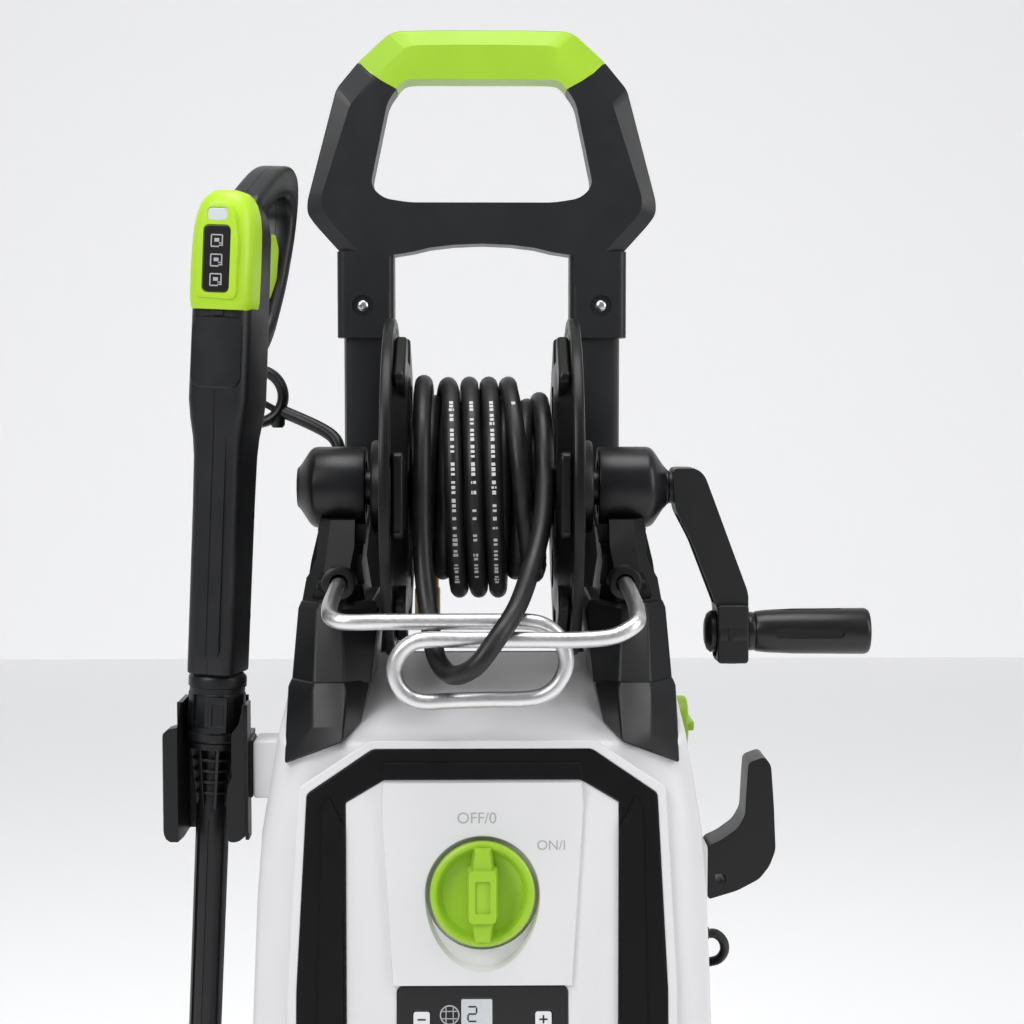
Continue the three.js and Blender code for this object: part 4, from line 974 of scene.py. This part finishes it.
placed(bevelled(crank_grip, 0.8, 3, 35), GRIP, "crank_grip", "crank_grip", "crank_grip")


# ---- Hose guide ----
def arc(x, y, z, radius, start, end, count):
    """Points along an arc in a plane across y, from one angle to the other in degrees."""
    return [(x + radius * math.cos(math.radians(start + (end - start) * i / (count - 1))), y,
             z + radius * math.sin(math.radians(start + (end - start) * i / (count - 1))))
            for i in range(count)]


UPPER, LOWER, CROSS = REEL_Z - 75, REEL_Z - 122, REEL_Z - 84.6
GUIDE_X, GUIDE_Z = 92, REEL_Z - 59
guide_points = [
    (-GUIDE_X, -23, GUIDE_Z), (-GUIDE_X, -41, GUIDE_Z), (-GUIDE_X - 1, -75, GUIDE_Z - 4),
    (-GUIDE_X - 2, -106, GUIDE_Z - 10), (-GUIDE_X, -121, GUIDE_Z - 14), (-GUIDE_X + 7, -128, UPPER),
    (-60, -128, UPPER), (-20, -128, UPPER), (10, -128, UPPER),
    *arc(27.5, -128.5, (UPPER + LOWER) / 2, (UPPER - LOWER) / 2, 90, -90, 9),
    (0, -132, LOWER), (-20, -136, LOWER),
    *arc(-34, -139.5, (LOWER + CROSS) / 2, (CROSS - LOWER) / 2, 270, 90, 9),
    (-10, -140, CROSS), (30, -140, CROSS), (60, -139.5, CROSS), (80, -138, CROSS + 2),
    (GUIDE_X + 1, -131, GUIDE_Z - 17), (GUIDE_X + 3, -115, GUIDE_Z - 12), (GUIDE_X + 2, -80, GUIDE_Z - 5),
    (GUIDE_X, -49, GUIDE_Z), (GUIDE_X, -23, GUIDE_Z)]
guide = bar("hose_guide_look", guide_points, 10, 8, 32)
placed(smoothed(guide), ALUMINIUM, "machine", "guide_aluminium", "hose_guide")

# ---- Handle ----
HANDLE_Y = 134
TOP_Z = BODY_HEIGHT + 439
HANDLE_LOW, HANDLE_HIGH = HANDLE_Y - 17, HANDLE_Y + 17
raised = Matrix.Translation((0, 0, TOP_Z))
outer = both_sides([(68, -200), (84, -178), (104.6, -156), (120, -139), (125.8, -131), (125.8, -122),
                    (104.6, -42), (88.4, -22.5), (67, -3), (60, -0.6), (30, 0)])
opening = both_sides([(52, -123), (71, -120), (80, -111), (67.5, -51.5), (57, -37), (50, -35.5)])


def shrunk(points, across, down, centre_h=-80):
    """The outline pulled towards its middle, for the top of a sloping facet."""
    return [(a - math.copysign(across, a), b - (down if b > centre_h else -down * 0.3)) for a, b in points]


def ridged(name):
    """The loop's solid: a flat middle with a broad facet towards its outer edge, front and back."""
    wide = rounded(outer, 4)
    core = prism(name, wide, "y", HANDLE_LOW + 5, HANDLE_HIGH - 5, raised)
    narrow = rounded(shrunk(outer, 10.5, 11), 4)
    front = frustum("front", narrow, wide, HANDLE_LOW, HANDLE_LOW + 5.2, raised)
    back = frustum("back", wide, narrow, HANDLE_HIGH - 5.2, HANDLE_HIGH, raised)
    carve(core, front, back, how="UNION")
    hole = prism("hole", rounded(opening, 6), "y", 0, 300, raised)
    arch_outline = [(-66.5, -201), (66.5, -201), (66.5, -161), (50, -158.4), (38, -155.5), (20, -153.3),
                    (0, -152.5), (-20, -153.3), (-38, -155.5), (-50, -158.4), (-66.5, -161)]
    return carve(core, hole, prism("arch", arch_outline, "y", 0, 300, raised))


grip_region = both_sides([(40, -43), (61.4, -43), (72.4, -37), (80.5, -31.5), (90, -22), (90, 20)])
grip_inside = both_sides([(40, -42.4), (61.1, -42.4), (72.1, -36.4), (80.2, -30.9), (89.7, -21.4),
                          (89.7, 20)])
RIVET_X, RIVET_Z = 86, TOP_Z - 197
loop = carve(ridged("handle_loop_look"), prism("cut", grip_region, "y", 0, 300, raised))
for x_sign in (-1, 1):
    middle = x_sign * 84
    sleeve_plan = round_rect(middle - 20.5, HANDLE_LOW, middle + 20.5, HANDLE_HIGH, 6, 8)
    carve(loop, prism("sleeve", sleeve_plan, "z", -220, -158, raised), how="UNION")
    pocket_plan = round_rect(middle - 16.3, HANDLE_Y - 13.3, middle + 16.3, HANDLE_Y + 13.3, 5)
    recess = [(0, HANDLE_LOW - 2), (8, HANDLE_LOW - 2), (7.4, HANDLE_LOW + 2.4), (0, HANDLE_LOW + 2.4)]
    carve(loop, prism("tube_pocket", pocket_plan, "z", -225, -175, raised),
          lathe("recess", recess, "y", (x_sign * RIVET_X, 0, RIVET_Z), 40))
placed(bevelled(loop, 1.3, 3, 20), HANDLE, "handle", "handle_plastic", "handle_loop")
lime_grip = carve(ridged("handle_grip_look"), prism("keep", grip_inside, "y", 0, 300, raised),
                  how="INTERSECT")
placed(bevelled(lime_grip, 1.3, 3, 20), LIME, "handle", "lime_plastic", "handle_grip")
for x_sign, side in ((-1, "left"), (1, "right")):
    rivet = lathe("rivet", [(0, 0), (2, 0.15), (3.6, 0.9), (4.3, 1.8), (4.3, 2.6)], "y",
                  (x_sign * RIVET_X, HANDLE_LOW - 0.1, RIVET_Z), 48)
    placed(smoothed(rivet), STEEL, "handle", "steel")
    refined("handle_tube_" + side, 0.8, HANDLE, "handle", "handle_tube", 2)
    refined("tube_socket_" + side, 1.2, BLACK, "machine", "black_shell", 2)

# ---- Handle lock and cable hook ----
LOCK_RADIUS = 19
LOCK_Z = REEL_Z - 170
LOCK_X = half_width(LOCK_Z - LOCK_RADIUS)
lock_place = Matrix.Translation((0, 66, LOCK_Z))
lock_profile = [(0, 0.4), (17, 0.4), (LOCK_RADIUS, 2), (LOCK_RADIUS, 8), (18.4, 9.2), (17, 10), (12, 10),
                (11, 9.4), (0, 9.4)]
lock_disc = lathe("lock_disc", [(r, LOCK_X + x) for r, x in lock_profile], "x", (0, 0, 0), 96, lock_place)
placed(smoothed(lock_disc), LIME, "lock", "lime_plastic", "handle_lock_knob")
lock_bar = prism("lock_bar", round_rect(-16.6, -3.5, 16.6, 3.5, 3), "x", LOCK_X + 7, LOCK_X + 14, lock_place)
placed(bevelled(lock_bar, 1.2), LIME, "lock", "lime_plastic", "handle_lock_knob")

hook_place = Matrix.Translation((HOOK_X + GAP, HOOK_Y, HOOK_Z))
hook_outline = [(0, -18), (20, -12), (35, -4), (42, 5), (46, 16), (44.6, 46), (42.5, 74), (38, 80), (27, 76),
                (26, 60), (25, 40), (20, 31), (9, 23), (0, 19)]
hook = prism("cable_hook_look", rounded(hook_outline, 3), "y", -16.5, 16.5, hook_place)
carve(hook, prism("hook_window", round_rect(5, -6, 12, -0.5, 1.5), "y", -30, 30, hook_place))
placed(bevelled(hook, 1.6, 3, 25), BLACK, "hook", "black_shell", "cable_hook")

# ---- Gun holder ----
GUN_X, GUN_Y, NUT_Z = -170, -60, REEL_Z - 137
HOLDER_LOW = NUT_Z - 83
plan = [(-23.5, 22), (-23.5, -8), (-32, -20), (-31, -24), (-22, -24), (-20.5, -8), (-20.5, 19.5),
        (19.7, 19.5), (19.7, -21), (8.9, -22), (8.9, -25), (20, -25), (22, -22), (22, 22)]
holder_place = Matrix.Translation((GUN_X, GUN_Y, 0))
holder = prism("gun_holder_look", plan, "z", HOLDER_LOW, NUT_Z + 4, holder_place)
LIP_TOP = NUT_Z - 11
# What is cut away from the two lips, seen from the front, so that their corners are round.
inner_side = [(0, LIP_TOP + 30), (0, HOLDER_LOW + 30), (8.9, HOLDER_LOW + 30), (10, HOLDER_LOW + 36),
              (12, HOLDER_LOW + 42), (12, LIP_TOP - 5), (12.6, LIP_TOP - 2.2), (14.6, LIP_TOP),
              (17, LIP_TOP + 4), (18.8, LIP_TOP + 12), (18.8, LIP_TOP + 30)]
inner_end = [(0, HOLDER_LOW - 5), (30, HOLDER_LOW - 5), (30, HOLDER_LOW + 8), (22, HOLDER_LOW + 5),
             (17, HOLDER_LOW + 1), (14, HOLDER_LOW), (11.5, HOLDER_LOW), (9.6, HOLDER_LOW + 1),
             (8.9, HOLDER_LOW + 3), (0, HOLDER_LOW + 3)]
outer_top = [(-40, LIP_TOP - 8), (-32.4, LIP_TOP - 8), (-31, LIP_TOP - 3), (-27.5, LIP_TOP),
             (-22, LIP_TOP + 1), (-20, LIP_TOP + 31), (-40, LIP_TOP + 31)]
outer_end = [(-40, HOLDER_LOW - 5), (-22, HOLDER_LOW - 5), (-23, HOLDER_LOW), (-27, HOLDER_LOW),
             (-29.8, HOLDER_LOW + 2), (-32.4, HOLDER_LOW + 9), (-40, HOLDER_LOW + 9)]
for outline, depth in ((inner_side, -18), (inner_end, -18), (outer_top, -9), (outer_end, -9)):
    carve(holder, prism("lip_cut", outline, "y", -40, depth, holder_place))
carve(holder, *[block("wall_gap", (18, -3, low), (24, 24, high), holder_place)
                for low, high in ((NUT_Z - 18, NUT_Z + 6), (HOLDER_LOW - 2, HOLDER_LOW + 24))])
placed(bevelled(holder, 0.9, 3, 25), BLACK, "machine", "black_shell", "gun_holder")
pad = block("clamp_pad", (20.6, -13, HOLDER_LOW + 26), (24, 13, NUT_Z - 20), holder_place)
placed(bevelled(pad, 1), BLACK, "machine", "black_shell", "gun_holder")
arm_low, arm_high = HOLDER_LOW + 26, NUT_Z - 20
arm_inner = -half_width(arm_high) + 3
bracket_outline = round_rect(GUN_X + 24.3, arm_low, arm_inner, arm_high, 2.5)
bracket = prism("gun_bracket_look", bracket_outline, "y", GUN_Y - 15, GUN_Y + 15)
placed(bevelled(bracket, 1.8), WHITE, "machine", "white_shell", "gun_bracket")

# ---- Spray gun: gun is its lance's frame, grip its own turned frame ----
gun = spun("Y", 2.6, GUN_X, GUN_Y, NUT_Z)
grip = gun @ spun("Z", -13)


def gun_ring(z, width, depth, corner, offset=0.0):
    half_x, half_y = width / 2 + offset, depth / 2 + offset
    return [(x, y, z) for x, y in round_rect(-half_x, -half_y, half_x, half_y, corner + offset, 8)]


def barrel(name, offset=0.0):
    """The gun's long body with its rounded ends, or the same grown by an offset."""
    rows = [(22, 28, 37, 6), (23, 30.4, 40.2, 7), (25, 31, 41, 8), (130, 31, 44, 9), (160, 31.4, 45.4, 9),
            (172, 33, 46.8, 9), (184, 36.6, 49, 9), (196, 39, 50, 9), (250, 38.8, 50.4, 10),
            (300, 38, 50, 10),
            (308, 35.4, 47.4, 10), (314, 32, 44, 10), (318.6, 27, 39, 9), (321.4, 20, 31, 8)]
    return skin(name, [gun_ring(z + (offset if z > 321 else -offset if z < 23 else 0), w, d, c, offset)
                       for z, w, d, c in rows], grip)


loop_outline = rounded([(8, 214), (30, 217), (54, 236), (76, 270), (90, 304), (95, 330), (92, 346), (80, 353),
                        (58, 349), (34, 337), (8, 322)], 12)
loop_hole = rounded([(26, 240), (34, 236), (50, 248), (66, 274), (79, 306), (81, 322), (72, 331), (52, 327),
                     (34, 316), (26, 302)], 6)


SEAM = 0.12


def gun_half(x_sign):
    """One moulded half of the gun's body with its grip loop, cut at the joint plane."""
    body = barrel("gun_half")
    ring_part = prism("ring_part", loop_outline, "x", -11.5, 11.5, grip)
    carve(ring_part, prism("hole", loop_hole, "x", -40, 40, grip))
    applied_bevel(ring_part, 4.6)
    carve(body, ring_part, how="UNION")
    low, high = (-60, SEAM) if x_sign > 0 else (-SEAM, 60)
    carve(body, block("trigger_slot", (-8, 19, 256), (8, 30, 308), grip),
          block("other_half", (low, -80, -10), (high, 170, 420), grip))
    return bevelled(body, 0.5, 2, 40)


for x_sign, side in ((-1, "left"), (1, "right")):
    placed(gun_half(x_sign), GUN, "gun", "gun_black", "gun_body_" + side)


def curved_panel(name, half, low, high, depth, rise, radius, steps=16):
    """A plate with a barrel-shaped front, round corners and a flat back at y = -20."""
    rings = []
    for i in range(steps + 1):
        x = -half + 2 * half * i / steps
        over = max(0, abs(x) - (half - radius))
        trim_by = radius - math.sqrt(max(0, radius ** 2 - over ** 2))
        y = -depth - rise * math.sqrt(max(0, 1 - (x / (half + 3)) ** 2))
        z0, z1 = low + trim_by, high - trim_by
        section = ((-20, z0), (y + 1.2, z0), (y, z0 + 1.2), (y, z1 - 1.2), (y + 1.2, z1), (-20, z1))
        rings.append([(x, b, z) for b, z in section])
    return skin(name, rings, grip)


front_panel = curved_panel("gun_front_panel", 16.2, 203, 248, 22, 4.6, 6)
placed(smoothed(front_panel, 40), GUN, "gun", "gun_black")
latch = prism("panel_latch", round_rect(-3.4, 248.4, 4.4, 251.4, 0.8), "y", -26.4, -20, grip)
placed(bevelled(latch, 0.5), GUN, "gun", "gun_black")
channel_panel = prism("gun_channel", round_rect(-8.2, 34, 8.2, 190, 4), "y", -23.8, -20, grip)
carve(channel_panel, block("seam", (-0.3, -26, 30), (0.3, -23.2, 195), grip))
placed(bevelled(channel_panel, 0.9), GUN, "gun", "gun_black")
for z in (58, 122, 186):
    boss_profile = [(0, 14.4), (1.6, 14.4), (1.8, 15.4), (3.2, 15.9), (3.8, 15.2), (3.8, 11)]
    boss = lathe("gun_screw", boss_profile, "x", (0, 10, z), 40, grip)
    placed(smoothed(boss), GUN, "gun", "gun_black")

cover = skin("gun_cover", [gun_ring(z, w, d, c) for z, w, d, c in (
    (252, 37.6, 56, 11), (253.4, 39.6, 57.6, 12), (258, 41, 58, 12), (276, 41.4, 58, 12),
                                                                   (292, 41.2, 57.4, 13),
    (303, 40.6, 56, 14), (311, 38.4, 53.4, 14), (317.6, 34.4, 50, 13), (322, 29, 46, 12), (325, 22, 41, 9),
    (326.4, 13, 36, 5))], grip)
carve(cover, barrel("inner", GAP), block("rear", (-60, -5, 200), (60, 80, 400), grip))
pad_outline = [(-13.4, 259), (13.4, 258), (13.8, 294), (11, 310), (6, 318.5), (-6, 318.5), (-11, 310),
               (-13.8, 294)]
cover_pad = prism("cover_pad", rounded(pad_outline, 5), "y", -30.2, -24, grip)
applied_bevel(cover_pad, 1, 3)
carve(cover, cover_pad, how="UNION")
carve(cover, prism("display_seat", round_rect(-9, 262, 9, 304, 3.5), "y", -40, -28.8, grip),
      prism("light_seat", round_rect(-6.6, 306.4, 6.6, 314.6, 3), "y", -40, -28.8, grip))
placed(bevelled(cover, 0.8, 3, 35), GUN_LIME, "gun", "gun_lime", "gun_top_cover")
display = prism("gun_display_look", round_rect(-8.5, 262.5, 8.5, 303.5, 3.2), "y", -29.9, -28.4, grip)
placed(bevelled(display, 0.5), GLOSS, "gun", "display_black", "gun_display")
lens = prism("gun_light", round_rect(-7.4, 305.8, 7.4, 314.6, 3.4), "y", -29.9, -27, grip)
placed(bevelled(lens, 1.2, 4), LENS, "gun", "display_glass")
# Each bar of a display mark: its middle across and up from the mark's own, and its half sizes.
ICON_BARS = ((-3.6, 0, 0.4, 3.6), (3.6, 0.6, 0.4, 3), (0, 3.6, 3.6, 0.4), (-1, -3.6, 2.6, 0.4),
             (0, 0.4, 1.6, 1.1), (2.8, -2.8, 1.4, 0.35), (2.8, -1.4, 1.4, 0.35))
for h in (270, 282, 294):
    for x, dh, half_x, half_h in ICON_BARS:
        mark = block("gun_icon", (x - half_x, -30.06, h + dh - half_h), (x + half_x, -29.8, h + dh + half_h),
                     grip)
        placed(bevelled(mark, 0.08, 1), MARK, "gun", "display_black")
trigger_outline = [(20, 262), (30, 258), (56, 262), (68, 276), (70, 296), (62, 306), (40, 300), (20, 296)]
trigger = prism("trigger_look", rounded(trigger_outline, 3), "x", -6.6, 6.6, grip)
placed(bevelled(trigger, 1.6), GUN_LIME, "trigger", "gun_lime", "trigger")

nut_profile = [(0, -22), (16.6, -22), (17.6, -21.6), (18.5, -20.4), (18.5, -16), (17.6, -15.4), (17.6, -12),
               (18.2, -11.4), (18.2, 9), (17.6, 9.6), (17.6, 13), (18.5, 13.6), (18.5, 19), (17.8, 20.6),
               (16.5, 21.7), (0, 21.7)]
nut = lathe("lance_nut_look", nut_profile, "z", (0, 0, 0), 96, gun)
for i in range(8):
    depth, half, low, high = (15.9, 4.6, -12, 9) if i % 2 else (16.9, 2, -14, 12)
    carve(nut, block("nut_recess", (depth, -half, low), (24, half, high), gun @ spun("Z", 45 * i + 13.5)))
nut_block = prism("nut_block", round_rect(-3, -14, 9, 8, 1), "y", -19.4, -12, gun)
carve(nut_block, prism("block_inset", round_rect(-0.6, -10, 6.6, 4, 0.8), "y", -22, -18, gun))
placed(bevelled(nut_block, 0.7), GUN, "gun", "gun_black", "lance_nut")
placed(bevelled(nut, 0.5, 2, 35), GUN, "gun", "gun_black", "lance_nut")

lance_profile = [(0, -22.3), (16.8, -22.3), (16.8, -26.2), (9.4, -26.8), (9.2, -60), (10.6, -64), (10.6, -95),
                 (10.2, -340), (9.4, -374), (8.7, -395), (0, -395)]
lance = lathe("lance_look", lance_profile, "z", (0, 0, 0), 96, gun)
carve(lance, *[block("flute", (9.3, -1.5, -385), (14, 1.5, -72), gun @ spun("Z", 45 * i)) for i in range(8)])
placed(bevelled(lance, 0.4, 2, 35), GUN, "gun", "gun_black", "lance_tube")
# The cage below the collar: rings and upright ribs on a cone that narrows to the lance.
CAGE_TOP, CAGE_LOW, CAGE_R, CAGE_NARROWING = -26, -63, 15.9, 0.135
for height in (-33, -40.2, -47.4, -54.6):
    ring_r = CAGE_R - 0.5 - (CAGE_TOP - height) * CAGE_NARROWING
    ring_profile = [(9, height - 0.8), (ring_r, height - 0.8), (ring_r, height + 0.8), (9, height + 0.8)]
    ring = lathe("cage_ring", ring_profile + ring_profile[:1], "z", (0, 0, 0), 64, gun)
    placed(bevelled(ring, 0.3, 2), GUN, "gun", "gun_black")
rib_outline = [(8.8, CAGE_TOP), (CAGE_R, CAGE_TOP), (CAGE_R + (CAGE_LOW - CAGE_TOP) * CAGE_NARROWING,
                                                     CAGE_LOW),
               (10.2, CAGE_LOW - 4), (8.8, CAGE_LOW - 4)]
for i in range(8):
    rib = prism("cage_rib", rib_outline, "y", -1.1, 1.1, gun @ spun("Z", 45 * i - 77))
    placed(bevelled(rib, 0.4, 2), GUN, "gun", "gun_black")
nozzle_profile = [(0, -431), (3, -431), (3.4, -432), (6.4, -432), (7.4, -431), (10, -426), (11, -420),
                  (11, -402), (10.4, -397), (9.5, -395.3), (0, -395.3)]
nozzle = lathe("nozzle_look", nozzle_profile, "z", (0, 0, 0), 96, gun)
carve(nozzle, *[block("flute", (10.2, -1.3, -421), (14, 1.3, -401),
                      gun @ spun("Z", 30 * i)) for i in range(12)])
placed(bevelled(nozzle, 0.4, 2, 35), GUN, "nozzle", "gun_black", "spray_nozzle")

# ---- Accessory ring ----
HOOP_RADIUS, HOOP_HALF, HOOP_WIDENING = 18.4, 4, 1.6
hoop_rings = []
for i in range(65):
    a = 2 * math.pi * i / 64
    section = [(HOOP_RADIUS + r, HOOP_WIDENING * y) for r, y in circle(HOOP_HALF, steps=16)]
    hoop_rings.append([(-158 + r * math.cos(a), 76 + y, REEL_Z + 60 + r * math.sin(a)) for r, y in section])
hoop = skin("hoop_look", hoop_rings, closed=False)
placed(smoothed(hoop), BLACK, "machine", "black_shell", "accessory_ring")
hoop_web = bar("hoop_web", [(-172, 76, REEL_Z + 68), (-158, 76, REEL_Z + 58), (-144, 76, REEL_Z + 50)], 4.6,
               4, 16)
placed(smoothed(hoop_web), BLACK, "machine", "black_shell")
peg = bar("ring_stem", [(-144, 76, REEL_Z + 51), (-139, 75, REEL_Z + 49), (-104, 63, REEL_Z + 32),
                        (-99, 58, REEL_Z + 22), (-98, 53, REEL_Z), (-98, 52.5, REEL_Z - 50)], 9, 8, 24)
placed(smoothed(peg), BLACK, "machine", "black_shell", "accessory_ring")
boss = skin("ring_boss", [[(x, y, REEL_Z + z) for x, y in circle(w, -143.5, 76, 32)]
                          for z, w in ((38, 3.6), (40, 5), (47, 5.4), (50, 4.6), (51, 3))])
placed(smoothed(boss, 50), BLACK, "machine", "black_shell")

# ---- Wheels, axle, inlet and drive ----
WHEEL = (0, 110, 100)
tyre_profile = [(80, 160.6), (79, 164), (82, 161), (94, 160), (97, 161), (99.4, 163.4), (100, 166),
                (100, 188),
                (99.4, 190.6), (97, 193), (94, 194), (82, 193), (78, 190), (78, 164), (80, 160.6)]
rim_profile = [(8.3, 156.3), (19.4, 156.3), (20, 157), (23, 168), (74, 172), (77, 166), (78, 164),
               (78.4, 190),
               (76, 191), (73, 184), (24, 183), (21, 191.6), (19.6, 193), (8.3, 193), (8.3, 156.3)]
for x_sign, side in ((-1, "left"), (1, "right")):
    tyre = lathe("tyre", [(r, x_sign * x) for r, x in tyre_profile], "x", WHEEL, 128)
    low, high = (x_sign * 177 - 12, -2, 98.2), (x_sign * 177 + 12, 2, 103)
    carve(tyre, *[block("tread", low, high, spun("X", 7.5 * i, *WHEEL)) for i in range(48)])
    placed(bevelled(tyre, 0.8, 2, 35), RUBBER, "wheel_" + side[0], "wheel_plastic", "wheel_" + side)
    rim = lathe("rim", [(r, x_sign * x) for r, x in rim_profile], "x", WHEEL, 128)
    opening = rounded([(-11, 32), (11, 32), (22, 66), (-22, 66)], 8)
    carve(rim, *[prism("gap", opening, "x", *ordered(x_sign, 150, 200), spun("X", 60 * i, *WHEEL))
                 for i in range(6)])
    placed(bevelled(rim, 1, 3, 35), BLACK, "wheel_" + side[0], "wheel_plastic")
wheel_axle = lathe("wheel_axle_look", [(0, -197), (7, -197), (8, -196), (8, 196), (7, 197), (0, 197)], "x",
                   WHEEL, 64)
placed(smoothed(wheel_axle), STEEL, "machine", "steel", "wheel_axle")
inlet_profile = [(0, 115.3), (12, 115.3), (13, 116), (13, 124.6), (12.4, 125.4), (9, 127), (9, 129),
                 (8.2, 129.4), (8.2, 130.6), (9, 131), (9, 140), (7, 142.6), (6, 143.3), (4, 143.3), (4, 120),
                 (0, 120)]
inlet = lathe("inlet_look", inlet_profile, "y", (0, 0, 175), 64)
placed(smoothed(inlet), BRASS, "machine", "brass", "water_inlet")
for i in range(4):
    vent = prism("rear_vent", round_rect(-60, 330 - i * 22, 60, 338 - i * 22, 3.5), "y", BACK_Y - 1,
                 BACK_Y + 1.2)
    placed(bevelled(vent, 0.5), TRIM, "machine", "black_shell")
refined("pump_head", 1.5, CAST, "machine", "pump_metal")
refined("motor", 1, CAST, "machine", "motor_metal")
refined("power_switch", 1, BLACK, "machine", "black_shell")

# ---- Floor, backdrop and light ----
def stage_plane(name, size, place, colour, glow=0.0):
    bpy.ops.mesh.primitive_plane_add(size=size)
    plane = bpy.context.object
    plane.name = name
    plane.matrix_world = place
    material, tree, shader = new_material(name, colour, 0.7)
    shader.inputs["Emission Color"].default_value = (*colour, 1)
    shader.inputs["Emission Strength"].default_value = glow
    plane.data.materials.append(material)


stage_plane("floor", 16, Matrix.Translation((0, 0, 0)), (0.9, 0.9, 0.905), 0.2)
stage_plane("backdrop", 16, spun("X", 90, 0, 4.2, 3), (0.9, 0.9, 0.905), 0.3)


def area_light(name, place, target, size, power):
    data = bpy.data.lights.new(name, "AREA")
    data.shape = "RECTANGLE"
    data.size, data.size_y = size
    data.energy = power
    light = bpy.data.objects.new(name, data)
    bpy.context.scene.collection.objects.link(light)
    light.location = place
    light.rotation_euler = (Vector(target) - Vector(place)).to_track_quat("-Z", "Y").to_euler()


world = bpy.data.worlds.new("world")
bpy.context.scene.world = world
world.use_nodes = True
world.node_tree.nodes["Background"].inputs["Color"].default_value = (0.93, 0.94, 0.96, 1)
world.node_tree.nodes["Background"].inputs["Strength"].default_value = 0.3
area_light("key_light", (-1.5, -1.7, 2.2), (0, 0, 0.7), (1.1, 1.5), 36)
area_light("side_light", (1.9, -0.9, 1.5), (0, 0, 0.7), (0.9, 1.8), 20)
area_light("top_light", (0, -0.3, 2.7), (0, 0, 0.7), (1.6, 1.2), 32)
bpy.context.scene.view_settings.view_transform = "Standard"
